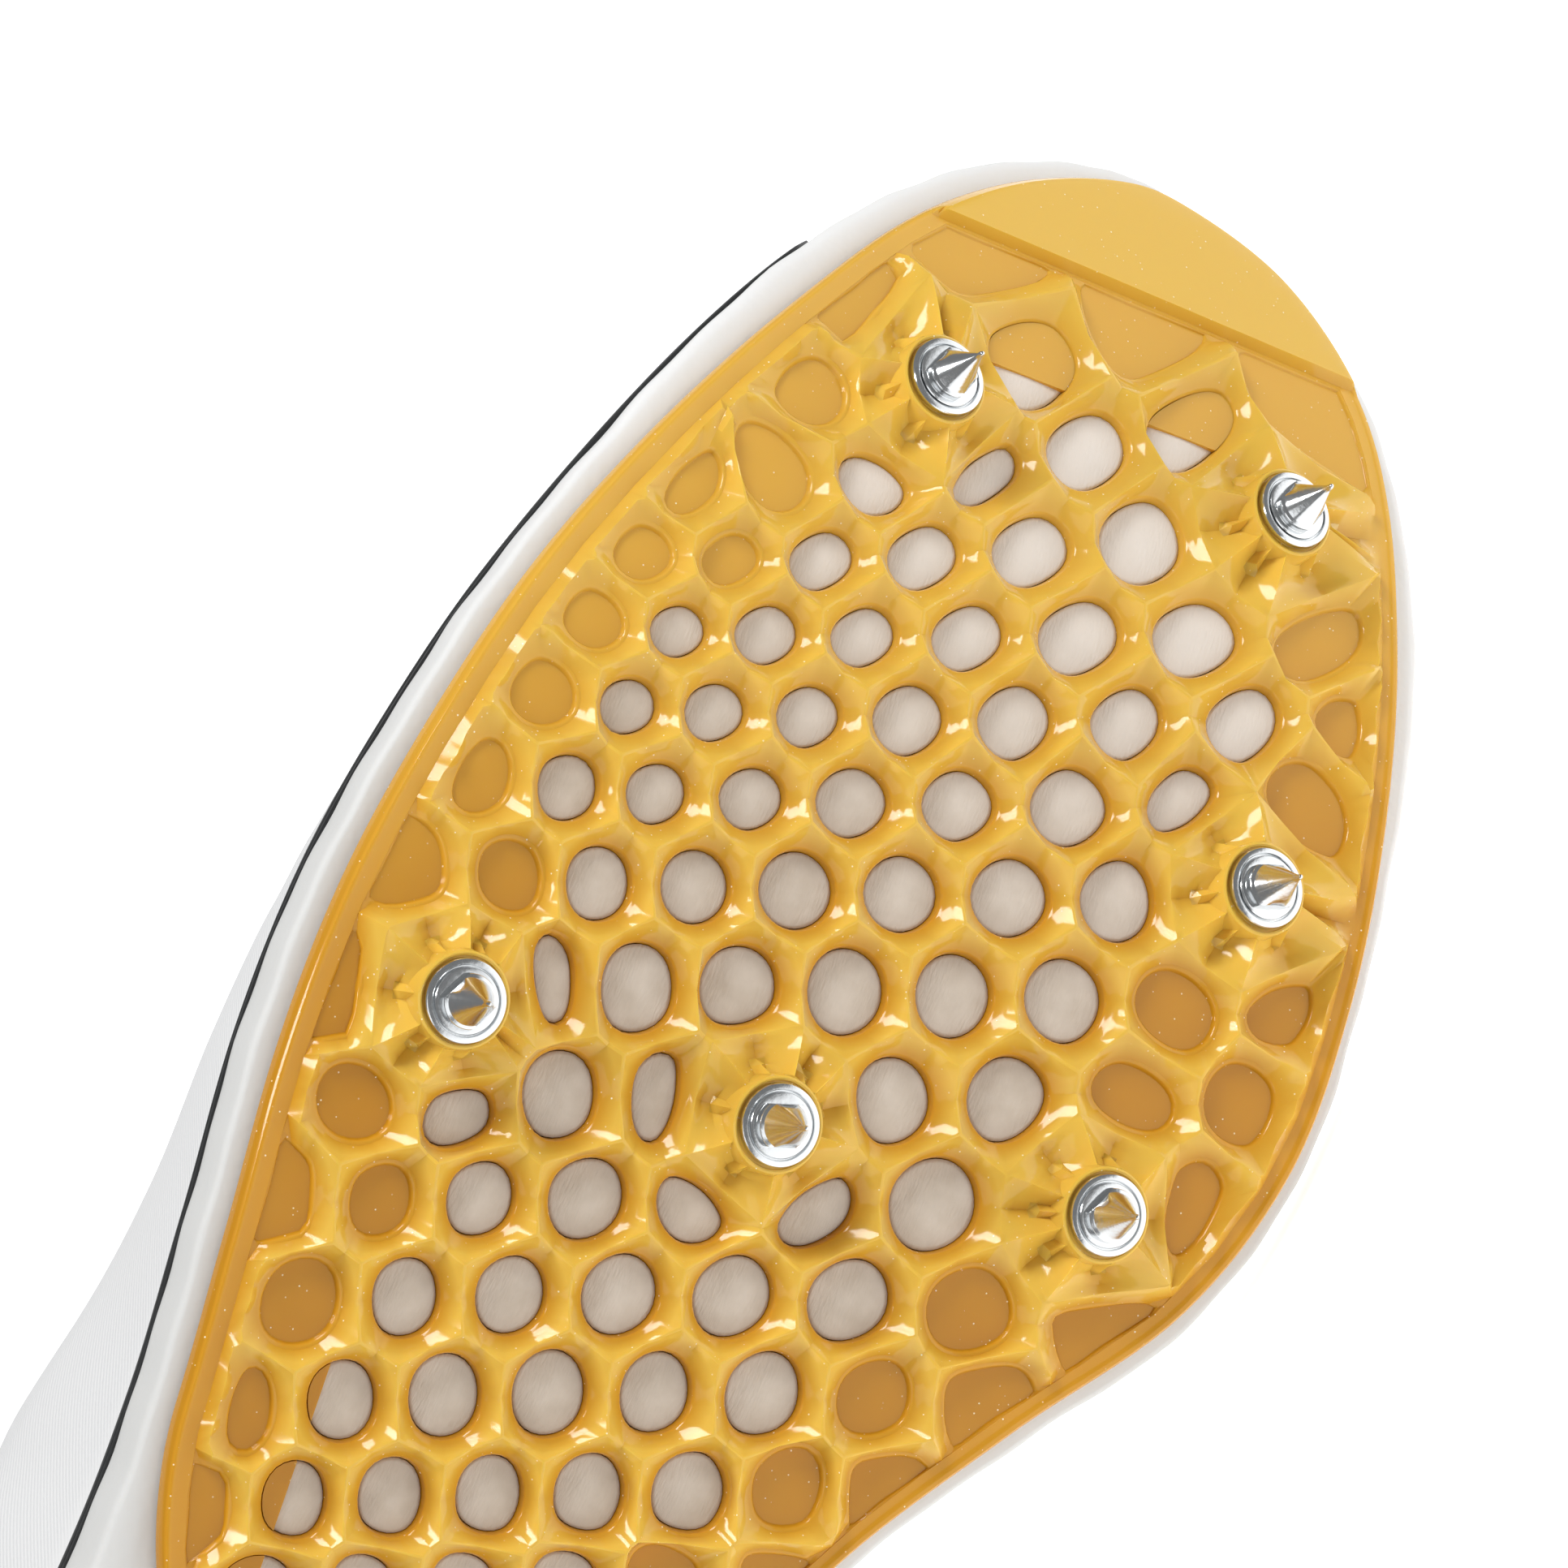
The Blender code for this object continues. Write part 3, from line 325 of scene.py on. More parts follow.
def resinMaterial():
    material, tree, shader = newMaterial("amber moulded nylon")
    place = addNode(tree, "TexCoord").outputs["Object"]
    sole = addNode(tree, "Attribute", attribute_name="sole")
    depth = addNode(tree, "SeparateXYZ", {0: sole.outputs["Vector"]})
    # painted shade and painted highlight by height: darkest on the low floors and hole walls, palest on the
    # raised crests and nodes
    middle = addNode(tree, "MapRange", {"Value": depth.outputs["Z"], "From Min": resin["shadedFloorDepth"] / 1000,
                                        "From Max": resin["middleDepth"] / 1000},
                     interpolation_type="SMOOTHSTEP")
    thick = addNode(tree, "MapRange", {"Value": depth.outputs["Z"], "From Min": resin["middleDepth"] / 1000,
                                       "From Max": resin["highlightCrestDepth"] / 1000})
    cloud = addNode(tree, "TexNoise", {"Vector": place, "Scale": 90.0, "Detail": 2.0})
    low = addNode(tree, "Mix", {"Factor": cloud.outputs["Fac"], "A": colour(resin["thin"]),
                                "B": colour(resin["thinCloud"])}, data_type="RGBA")
    # painted light: the thin floors and the middle tone are paler towards the toe and the outer side
    front = addNode(tree, "Math", {0: depth.outputs["Y"], 1: resin["paleAcross"], 2: depth.outputs["X"]},
                    operation="MULTIPLY_ADD")
    paintedLight = addNode(tree, "MapRange", {"Value": front.outputs[0], "From Min": resin["paleStart"],
                                       "From Max": resin["paleEnd"]})
    thin = addNode(tree, "Mix", {"Factor": paintedLight.outputs["Result"], "A": low.outputs["Result"],
                                 "B": colour(resin["thinPaintedLight"])}, data_type="RGBA")
    half = addNode(tree, "Mix", {"Factor": paintedLight.outputs["Result"], "A": colour(resin["middle"]),
                                 "B": colour(resin["middlePaintedLight"])}, data_type="RGBA")
    wall = addNode(tree, "Mix", {"Factor": middle.outputs["Result"], "A": thin.outputs["Result"],
                                 "B": half.outputs["Result"]}, data_type="RGBA")
    tone = addNode(tree, "Mix", {"Factor": thick.outputs["Result"], "A": wall.outputs["Result"],
                                 "B": colour(resin["thick"])}, data_type="RGBA")
    # a flake shows where a small cell's own random number is near one; its pale spot is the flake and also a
    # painted glint
    flakes = addNode(tree, "TexVoronoi", {"Vector": place, "Scale": 1000.0 / resin["flake"]})
    pick = addNode(tree, "SeparateColor", {"Color": flakes.outputs["Color"]})
    rare = addNode(tree, "Math", {0: pick.outputs[0], 1: resin["flakeRare"]}, operation="GREATER_THAN")
    small = addNode(tree, "Math", {0: flakes.outputs["Distance"], 1: resin["flakeSize"]}, operation="LESS_THAN")
    spot = addNode(tree, "Math", {0: rare.outputs[0], 1: small.outputs[0]}, operation="MULTIPLY")
    faint = addNode(tree, "Math", {0: spot.outputs[0], 1: pick.outputs[1]}, operation="MULTIPLY")
    bright = addNode(tree, "Mix", {"Factor": faint.outputs[0], "A": tone.outputs["Result"],
                                   "B": colour(resin["flakeAndGlintTone"])}, data_type="RGBA")
    waves = addNode(tree, "TexNoise", {"Vector": place, "Scale": 260.0, "Detail": 1.0})
    bump = addNode(tree, "Bump", {"Height": waves.outputs["Fac"], "Strength": 0.08, "Distance": 0.0004})
    setInputs(tree, shader, {
        "Base Color": bright.outputs["Result"],
        "Roughness": resin["rough"],
        "Subsurface Weight": resin["glow"],
        "Subsurface Radius": (1.0, 0.62, 0.15),
        "Subsurface Scale": resin["reach"],
        "Specular IOR Level": 0.26,
        "Coat Weight": 0.15,
        "Coat Roughness": 0.04,
        "Normal": bump.outputs["Normal"],
    })
    return material


# Cut a polygon by a line and keep the side that the normal points away from.
def clipPolygon(polygon, place, normal):
    kept = []
    for i, p in enumerate(polygon):
        q = polygon[(i + 1) % len(polygon)]
        sideP = (p[0] - place[0]) * normal[0] + (p[1] - place[1]) * normal[1]
        sideQ = (q[0] - place[0]) * normal[0] + (q[1] - place[1]) * normal[1]
        if sideP <= 0:
            kept.append(p)
        if (sideP < 0 < sideQ) or (sideQ < 0 < sideP):
            share = sideP / (sideP - sideQ)
            kept.append((p[0] + share * (q[0] - p[0]), p[1] + share * (q[1] - p[1])))
    return kept


# Which points lie inside a polygon, by counting crossings.
def insidePolygon(polygon, points):
    points = np.asarray(points, float)
    hit = np.zeros(len(points), bool)
    for i, p in enumerate(polygon):
        q = polygon[(i + 1) % len(polygon)]
        if p[1] == q[1]:
            continue
        spans = (p[1] > points[:, 1]) != (q[1] > points[:, 1])
        hit ^= spans & (points[:, 0] < (q[0] - p[0]) * (points[:, 1] - p[1]) / (q[1] - p[1]) + p[0])
    return hit


# Distance from points to the nearest side of a polygon.
def distanceTo(polygon, points):
    points = np.asarray(points, float)
    start = np.asarray(polygon, float)
    side = np.roll(start, -1, axis=0) - start
    apart = points[:, None] - start[None]
    share = np.clip((apart * side).sum(-1) / np.maximum((side * side).sum(-1), 1e-12), 0, 1)
    return np.linalg.norm(apart - share[..., None] * side, axis=-1).min(axis=1)


# Spike plate, in millimetres: heights are below the sole line, insets from a cell's sides
plate = {
    "tail": 103.0, "tailRound": 30.0,
    "rim": 1.85, "rimWidth": 2.2, "bead": 0.12,
    "floor": 1.55,
    "ridge": 3.0, "node": 3.95, "fade": 1.5,
    "bay": 3.6,  # a blind cell whose centre is nearer to the zone's edge than this opens into the rim
    "borderCrest": 2.75, "borderInset": 0.9,
    "lip": 2.1, "lipRound": 0.5, "holeInset": 1.48, "roundness": 0.6, "stretch": 0.28, "uneven": 0.14,
    "boss": 6.0, "bossFlat": 4.5, "bossReach": 6.9, "valley": 3.2,
    "film": 1.6,  # thin film that covers what lies outside the window of an open cell
    "pad": 3.0, "padStep": 0.5,
    "toeInset": -0.5, "toeStart": 0.88, "toeReach": 0.07,  # the edge against the sole's, and share along
    "padBay": 7.5,  # as bay, from the toe pad's step
    "stretchMiddle": 195, "stretchFade": 18,  # along, where the holes' long way changes over
    "neighbour": 28,  # cells further apart than this never share a ridge
    "cornerTurn": 14,  # degrees, less is no corner of a cell
    "dipLength": 4.5,  # a side this long or longer dips fully between its corners
    "spacing": 1.1,
}
flatScale = np.array([shoe["soleLength"], shoe["ballWidth"]]) * 1000
padLine = np.array([(0.937, -0.20), (0.967, 0.33)]) * flatScale  # the toe pad starts at a straight step here
# straight edges of the open window on the flat pattern in mm: a point, and the direction that is covered
windowEdges = [((260.4, 0.0), (0.985, -0.172)), ((128.6, -27.4), (-0.17, -0.985))]


# Closed edge of the plate in mm, moved in by inset: the sole's edge with a round tail, and wider at the toe.
def plateEdge(inset, steps):
    tailPlace = plate["tail"] / 1000
    stations = 0.5 - 0.5 * np.cos(np.pi * np.arange(steps + 1) / steps)
    along = tailPlace + (shoe["soleLength"] - tailPlace) * stations
    outer, inner = edgeAcross(along, 0), edgeAcross(along, 1)
    middle = (outer + inner) / 2
    tail = np.clip((along - tailPlace) / plate["tailRound"] * 1000, 0, 1)
    spread = np.sqrt(1 - (1 - tail) ** 2)
    outer, inner = middle + (outer - middle) * spread, middle + (inner - middle) * spread
    loop = 1000 * np.vstack([np.stack([along, outer], 1), np.stack([along, inner], 1)[-2:0:-1]])
    heading = np.roll(loop, -1, axis=0) - np.roll(loop, 1, axis=0)
    normal = np.stack([heading[:, 1], -heading[:, 0]], 1) / np.linalg.norm(heading, axis=1)[:, None]
    toe = ease((loop[:, 0] / (1000 * shoe["soleLength"]) - plate["toeStart"]) / plate["toeReach"])
    return loop - (inset + plate["toeInset"] * toe)[:, None] * normal


# Centres of the spikes and cells on the flat pattern in mm, with their kind.
def cellSites(zone):
    spikes = [(a * flatScale[0], y * flatScale[1], "spike") for a, y, turn in spikePlaces]
    sites = list(spikes)
    for a0, a1, bow, y0, y1, crowd, count, blindOuter, blindInner in cellRows:
        for i in range(count):
            f = i / (count - 1)
            along = (a0 + (a1 - a0) * f + bow * f * (f - 1)) * flatScale[0]
            across = (y0 + (y1 - y0) * f + crowd * f * (f - 1)) * flatScale[1]
            near = min(math.dist((along, across), s[:2]) for s in spikes)
            if near < plate["bossReach"] or not insidePolygon(zone, [(along, across)])[0]:
                continue
            blind = i < blindOuter or i >= count - blindInner
            sites.append((along, across, "blind" if blind else "open"))
    return sites


# Divide the zone: between two sites the squared distances, less a spike's reach, are equal.
def cellPolygons(sites, zone):
    weight = {"spike": plate["bossReach"] ** 2, "open": 0.0, "blind": 0.0}
    polygons = []
    for i, (a, y, kind) in enumerate(sites):
        polygon = zone
        for j, (b, v, other) in enumerate(sites):
            apart = math.dist((a, y), (b, v))
            if i == j or apart > plate["neighbour"]:
                continue
            share = 0.5 + (weight[kind] - weight[other]) / (2 * apart * apart)
            polygon = clipPolygon(polygon, (a + share * (b - a), y + share * (v - y)), (b - a, v - y))
        polygons.append(polygon)
    return polygons


# Corners of a polygon that turn by more than cornerTurn.
def mainCorners(polygon):
    kept = []
    for i, p in enumerate(polygon):
        before = np.subtract(p, polygon[i - 1])
        after = np.subtract(polygon[(i + 1) % len(polygon)], p)
        if np.hypot(*before) < 0.05:
            continue
        turn = math.atan2(before[0] * after[1] - before[1] * after[0], before @ after)
        if abs(math.degrees(turn)) > plate["cornerTurn"]:
            kept.append(p)
    return np.array(kept)


# Hole's radius: a share of the ellipse with the cell's own spread, the rest the soft polygon.
def ovalRadius(corners, middle, way, insets, share):
    turns = np.linspace(0, 2 * np.pi, 72, endpoint=False)
    around = np.stack([np.cos(turns), np.sin(turns)], 1)
    full = softRadius(corners, middle, around, insets)
    spread = (around * full[:, None] ** 4).T @ around / (full ** 2).sum()
    even = ((way @ np.linalg.inv(2 * spread)) * way).sum(axis=1) ** -0.5
    return softRadius(corners, middle, way, insets) * (1 - share) + even * share


# Radius of a soft-cornered polygon: (sum of max(0, n.e / (d - inset))^4)^(-1/4).
def softRadius(corners, middle, way, insets):
    side = np.roll(corners, -1, axis=0) - corners
    normal = np.stack([side[:, 1], -side[:, 0]], 1) / np.linalg.norm(side, axis=1)[:, None]
    far = ((corners - middle) * normal).sum(axis=1)
    normal[far < 0] *= -1
    far = np.maximum(np.abs(far) - insets, 0.5)
    pull = np.maximum(way @ normal.T, 0) / far
    return (pull ** 4).sum(axis=1) ** -0.25


# Points along a polygon's sides in mm, with their crest height and nearness to a corner.
# The crest falls straight from each corner to the middle of a side, so that it has a crease there.
def sideSamples(polygon, zone):
    points, corner = [], []
    for i, p in enumerate(polygon):
        q = polygon[(i + 1) % len(polygon)]
        long = math.dist(p, q)
        pieces = 2 * max(1, round(long / plate["spacing"] / 2))
        dip = min(1.0, long / plate["dipLength"])
        for k in range(pieces):
            f = k / pieces
            points.append((p[0] + (q[0] - p[0]) * f, p[1] + (q[1] - p[1]) * f))
            corner.append(1 - dip * (1 - abs(2 * f - 1)))
    points, corner = np.array(points), np.array(corner)
    crest = plate["ridge"] + (plate["node"] - plate["ridge"]) * corner
    share = np.clip(distanceTo(zone, points) / plate["fade"], 0, 1)
    return points, plate["rim"] + (crest - plate["rim"]) * share, corner


# Rows of a cell from its crest down to the hole: a plane facet, a round lip, then the wall.
# Gives places in mm (rows, columns, 3) with the depth below the sole line as third number.
def cellPatch(polygon, kind, zone):
    crestPlace, crest, corner = sideSamples(polygon, zone)
    corners = mainCorners(polygon)
    middle = corners.mean(axis=0)
    away = crestPlace - middle
    far = np.linalg.norm(away, axis=1)
    way = away / far[:, None]
    toZone = distanceTo(zone, crestPlace)
    atPad = distanceTo(padLine, [middle])[0] < plate["padBay"]
    bay = kind == "blind" and (atPad or distanceTo(zone, [middle])[0] < plate["bay"])
    onZone = distanceTo(zone, corners) < 0.01
    outerSide = onZone & np.roll(onZone, -1)
    outerInset = -1.5 if bay else plate["holeInset"] + plate["borderInset"]
    side = np.roll(corners, -1, axis=0) - corners
    # the holes are longer one way at the toe, the other way behind
    facing = side[:, 1] * 0.434 - side[:, 0] * 0.901
    facing = 2 * (facing / np.linalg.norm(side, axis=1)) ** 2 - 1
    stretch = plate["stretch"] * np.clip((middle[0] - plate["stretchMiddle"]) / plate["stretchFade"], -1, 1)
    own = plate["holeInset"] - stretch * facing + plate["uneven"] * math.sin(1.9 * middle[0] + 2.7 * middle[1])
    insets = np.where(outerSide, outerInset, own)
    hole = ovalRadius(corners, middle, way, insets, 0.0 if bay else plate["roundness"])
    hole = np.minimum(hole, far - 0.25)
    width = far - hole
    border = 0 * far if bay else np.clip(1 - toZone / plate["borderInset"], 0, 1)
    lipStart = np.maximum(width - plate["lipRound"], width * 0.35)
    lowest = plate["floor"] if kind == "blind" else 0.0
    inset = plate["borderInset"] * border
    wall = plate["borderCrest"] + 0.6 * (corner - 0.5)
    top = crest + np.maximum(wall - crest, 0) * np.minimum(2 * border, 1)
    lip = np.minimum(plate["lip"], top - 0.1)
    lipStart = np.maximum(lipStart, inset + 0.15)
    width = np.maximum(width, lipStart + 0.1)
    # share of the way from crest to lip, depth share; then share of the lip's round, drop in mm
    rows = [(np.zeros_like(far), crest), (inset + 0.10 * (lipStart - inset), top - 0.05),
            (inset + 0.55 * (lipStart - inset), top * 0.45 + lip * 0.55), (lipStart, lip)]
    fall = np.maximum(lip - lowest - 0.1, 0.05)
    for share, drop in ((0.35, 0.07), (0.62, 0.20), (0.85, 0.45), (1.0, 0.85)):
        drop = drop * (0.7 if kind == "open" else 1.0)
        rows.append((lipStart + (width - lipStart) * share, lip - fall * drop))
    if kind == "open":
        rows.append((width + 0.08, np.zeros_like(far)))
    else:
        rows.append((width + 0.12, np.full_like(far, lowest)))
        rows.append((width + 0.45 * hole, np.full_like(far, lowest)))
    radius = np.array([far - r[0] for r in rows])
    depth = np.array([r[1] for r in rows])
    flat = middle + radius[..., None] * way
    return np.concatenate([flat, depth[..., None]], axis=-1), middle


# Star boss: straight arms from the ring to the corners, sunk facets with a fin between them.
def bossPatch(site, polygon, zone):
    crestPlace, crest, corner = sideSamples(polygon, zone)
    middle = np.array(site[:2])
    away = crestPlace - middle
    far = np.linalg.norm(away, axis=1)
    way = away / far[:, None]
    valley = np.clip(1 - corner, 0, 1) ** 0.8
    fin = valley > 0.9
    rows = []
    for q in (0.0, 0.12, 0.28, 0.45, 0.6, 0.75, 0.88, 0.96, 1.0):  # share of the way from the crest to the ring
        straight = crest + (plate["boss"] - crest) * q ** 0.85
        sink = plate["valley"] * valley * np.interp(q, (0, 0.25, 0.75, 0.96, 1), (0, 0.45, 1, 0.9, 0))
        finSink = plate["valley"] * valley * np.interp(q, (0, 0.25, 0.6, 1), (0, 0.45, 0.75, 0))
        depth = straight - np.where(fin, finSink, sink)
        rows.append((far + (plate["bossFlat"] - far) * q, depth))
    # a small bead round the seat of the spike, then the seat
    for radius, height in ((4.45, 6.25), (4.25, 6.35), (4.08, 6.25), (4.0, 6.0), (1.5, 6.0)):
        rows.append((np.full_like(far, radius), np.full_like(far, height)))
    radius = np.array([r[0] for r in rows])
    depth = np.array([r[1] for r in rows])
    flat = middle + radius[..., None] * way
    return np.concatenate([flat, depth[..., None]], axis=-1), middle


# All of the plate: cells and bosses as radial grids, the rim and toe pad as triangles between loops.
# The upper face closes the loops of the holes and of the edge.
def plateMesh():
    first, last = padLine
    line = last - first
    toToe = np.array([line[1], -line[0]]) / np.linalg.norm(line)
    edge = plateEdge(0.0, 150)
    zoneLoop = [tuple(p) for p in plateEdge(plate["rimWidth"], 36)]
    zone = clipPolygon(zoneLoop, first - toToe * 0.85, toToe)
    sites = cellSites(zoneLoop)
    polygons = cellPolygons(sites, zone)

    points, faces, zoneRing, rings = [], [], [], []

    def addGrid(grid, middle, closed):  # a cell or boss; an open one leaves its hole's ring
        start = sum(len(p) for p in points)
        rows, columns = grid.shape[:2]
        points.append(grid.reshape(-1, 3))
        faces.extend(gridFaces(rows, columns, wrapColumns=True, first=start))
        if closed:
            points.append(np.array([[*middle, grid[-1, 0, 2]]]))
            last = start + (rows - 1) * columns
            faces.extend([(last + k, last + (k + 1) % columns, last + columns) for k in range(columns)])
        else:
            rings.append(grid[-1])

    for site, polygon in zip(sites, polygons):
        if site[2] == "spike":
            addGrid(*bossPatch(site, polygon, zone), True)
        else:
            addGrid(*cellPatch(polygon, site[2], zone), site[2] == "blind")
        samples = sideSamples(polygon, zone)[0]
        onZone = distanceTo(zone, samples) < 1e-4
        zoneRing.append(samples[onZone])

    def rimDepth(places):  # level, with a bead at the edge, and the toe pad's step and round border
        fromEdge = distanceTo(edge, places)
        bead = plate["bead"] * np.exp(-((fromEdge - 0.75) / 0.35) ** 2)
        beyond = (places - first) @ toToe
        pad = (plate["pad"] - plate["rim"]) * ease(beyond / plate["padStep"] + 1) * ease((fromEdge - 0.1) / 1.2)
        corner = 0.9 * (1 - np.clip(fromEdge / 0.5, 0, 1)) ** 2
        return plate["rim"] + np.maximum(bead, pad) - corner

    loose, links = [], []

    def addLoop(loop, closed=True):  # points and links that the triangles have to keep
        start = len(loose)
        loose.extend(tuple(p) for p in loop)
        count = len(loop)
        links.extend((start + i, start + (i + 1) % count) for i in range(count if closed else count - 1))

    for inset in (0.0, 0.12, 0.28, 0.5, 0.75, 1.05, 1.5):
        addLoop(plateEdge(inset, 150))
    for shift in (-0.5, -0.25, 0.0, 0.6):
        walk = np.linspace(-0.3, 1.3, 60)[:, None]
        row = first + toToe * shift + line * walk
        addLoop(row[insidePolygon(edge, row) & (distanceTo(edge, row) > 0.4)], closed=False)
    ahead = np.stack(np.meshgrid(np.arange(1.5, 30, 1.8), np.linspace(-0.2, 1.2, 40), indexing="ij"), -1)
    ahead = first + ahead.reshape(-1, 2)[:, :1] * toToe + ahead.reshape(-1, 2)[:, 1:] * line
    ahead = ahead[insidePolygon(edge, ahead) & (distanceTo(edge, ahead) > 1.9)]
    loose.extend(tuple(p) for p in ahead)
    ring = np.vstack(zoneRing)
    ring = ring[np.unique(np.round(ring, 3), axis=0, return_index=True)[1]]
    # order the samples along the zone's edge by side and share
    zoneArray = np.array(zone)
    side = np.roll(zoneArray, -1, axis=0) - zoneArray
    share = np.clip(((ring[:, None] - zoneArray) * side).sum(-1) / (side * side).sum(-1), 0, 1)
    gap = np.linalg.norm(ring[:, None] - zoneArray - share[..., None] * side, axis=-1)
    nearest = gap.argmin(axis=1)
    order = np.argsort(nearest + share[np.arange(len(ring)), nearest])
    addLoop(ring[order])

    found = delaunay_2d_cdt([Vector(p) for p in loose], links, [], 0, 0.004)
    places = np.array([tuple(v) for v in found[0]])
    triangles = np.array([tuple(f) for f in found[2]])
    middles = places[triangles].mean(axis=1)
    keep = insidePolygon(edge, middles) & ~insidePolygon(ring[order], middles)
    start = sum(len(p) for p in points)
    depth = rimDepth(places)
    onRing = distanceTo(ring[order], places) < 0.01
    depth[onRing] = plate["rim"]
    points.append(np.column_stack([places, depth]))
    faces.extend((triangles[keep] + start).tolist())

    # outer wall, then the upper face between the wall's loop and the holes' loops
    count = len(edge)
    start = sum(len(p) for p in points)
    wall = np.stack([np.column_stack([edge, rimDepth(edge)]), np.column_stack([edge, np.zeros(count)])])
    points.append(wall.reshape(-1, 3))
    faces.extend(gridFaces(2, count, wrapColumns=True, first=start))
    loose, links = [], []
    addLoop(edge)
    for hole in rings:
        addLoop(hole[:, :2])
    found = delaunay_2d_cdt([Vector(p) for p in loose], links, [], 0, 0.0001)
    places = np.array([tuple(v) for v in found[0]])
    triangles = np.array([tuple(f) for f in found[2]])
    middles = places[triangles].mean(axis=1)
    keep = insidePolygon(edge, middles)
    for hole in rings:
        keep &= ~insidePolygon(hole[:, :2], middles)
    start = sum(len(p) for p in points)
    points.append(np.column_stack([places, np.zeros(len(places))]))
    faces.extend((triangles[keep] + start).tolist())
    print(f"plate has {len(rings)} open cells")
    return np.vstack(points) / 1000, faces, rings


# Film in the open cells that a window edge crosses: the covered part of the hole as a prism.
def filmMesh(holes):
    points, faces = [], []
    for hole in holes:
        middle = hole[:, :2].mean(axis=0)
        reach = np.linalg.norm(hole[:, :2] - middle, axis=1).max()
        for place, way in windowEdges:
            ahead = (middle - np.array(place)) @ np.array(way)
            if not -reach < ahead < 0.9 * reach or abs(middle[0] - place[0]) > 14:
                continue
            wider = middle + (hole[:, :2] - middle) * 1.03  # reaches into the hole's wall
            ring = clipPolygon([tuple(p) for p in wider], place, (-way[0], -way[1]))
            count, first = len(ring), sum(len(p) for p in points)
            for depth in (0.3, plate["film"]):
                points.append(np.column_stack([np.array(ring), np.full(count, depth)]))
            faces += gridFaces(2, count, wrapColumns=True, first=first) + endFaces(2, count, first)
    return np.vstack(points) / 1000, faces


# The plate, and in the same resin the film of its half covered cells.
def plateLooks():
    pattern, faces, holes = plateMesh()
    points = solePoint(pattern[:, 0], pattern[:, 1], -pattern[:, 2])
    made = makePiece("plateLooks", points, faces, resinMaterial(), sharp=28,
                     attributes={"sole": pattern}, weld=0.000008)
    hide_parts("spike_plate")
    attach(made, "root")
    pattern, faces = filmMesh(holes)
    film = makePiece("filmLooks", solePoint(pattern[:, 0], pattern[:, 1], -pattern[:, 2]), faces,
                     made.data.materials[0], attributes={"sole": pattern}, sharp=40)
    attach(film, "root")
    return holes


plateHoles = plateLooks()
print("plate done")

# Spike: radius and height of its profile in mm, and whether the wrench flats cut it there
spikeProfile = [
    (0.0, 0.0, 0), (3.7, 0.0, 0), (3.88, 0.10, 0), (3.90, 0.20, 0), (3.90, 0.80, 0), (3.84, 0.93, 0),
    (3.70, 1.00, 0), (3.36, 1.02, 0), (3.28, 0.96, 0), (3.24, 0.72, 0), (3.14, 0.72, 0), (3.11, 1.02, 0),
    (3.04, 1.12, 0), (2.92, 1.15, 0), (2.60, 1.15, 1), (2.57, 1.20, 1), (2.57, 1.95, 1), (2.52, 2.03, 1),
    (2.30, 2.12, 1), (2.22, 2.16, 1), (2.14, 2.30, 1), (1.60, 3.35, 1), (1.00, 4.62, 1), (0.45, 5.90, 1),
    (0.30, 6.35, 0), (0.26, 6.75, 0), (0.17, 6.93, 0), (0.0, 7.0, 0),
]
spikeFlats = 1.98  # half the width over the flats, in mm
spikeSeat = 6.05  # mm below the sole line


# Zinc plated steel, turned and tumbled: bright, with fine rings and a little grain.
def zincMaterial():
    material, tree, shader = newMaterial("bright zinc")
    place = addNode(tree, "TexCoord").outputs["Object"]
    grain = addNode(tree, "TexNoise", {"Vector": place, "Scale": 2600.0, "Detail": 3.0})
    rough = addNode(tree, "MapRange", {"Value": grain.outputs["Fac"], "To Min": 0.10, "To Max": 0.24})
    bump = addNode(tree, "Bump", {"Height": grain.outputs["Fac"], "Strength": 0.12, "Distance": 0.00008})
    setInputs(tree, shader, {"Base Color": colour("#D9DCDE"), "Metallic": 1.0,
                             "Roughness": rough.outputs["Result"], "Normal": bump.outputs["Normal"]})
    return material


# Profile turned round its axis; where the flats cut it, one direction is held to their width.
def spikeLooks(number, along, across, turn, material):
    profile = np.array(spikeProfile)
    angle = np.linspace(0, 2 * np.pi, 72, endpoint=False)
    x = profile[:, :1] * np.cos(angle)
    y = profile[:, :1] * np.sin(angle)
    x = np.where(profile[:, 2:] > 0, np.clip(x, -spikeFlats, spikeFlats), x)
    z = np.repeat(profile[:, 1:2], len(angle), axis=1)
    a, v = along * shoe["soleLength"], across * shoe["ballWidth"]
    seat = uprightPoint(a, v, -spikeSeat / 1000)
    down = uprightPoint(a, v, -1.0) - uprightPoint(a, v, 0.0)
    front = np.array([-down[2], 0, down[0]])
    flat = front * math.cos(math.radians(turn)) + np.array([0, 1, 0]) * math.sin(math.radians(turn))
    other = np.cross(down, flat)
    grid = seat + (x[..., None] * flat + y[..., None] * other + z[..., None] * down) / 1000
    made = makePiece(f"spikeLooks{number}", lay(grid.reshape(-1, 3)), gridFaces(*x.shape, wrapColumns=True),
                     material, sharp=24, weld=0.000002)
    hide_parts(f"spike_{number}")
    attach(made, "root")


zinc = zincMaterial()
for number, place in enumerate(spikePlaces, 1):
    spikeLooks(number, *place, zinc)
print("spikes done")

# Felt board behind the open cells
feltBoard = {"inset": 0.006, "front": 0.955, "thickness": 0.0010, "under": 0.0001,
             "swell": 0.0011, "crown": 0.0003,
             # the toe tone is painted light: the felt is paler towards the toe
             "dark": "#B9AB9A", "light": "#E4DACE", "toe": "#EFE8E1"}
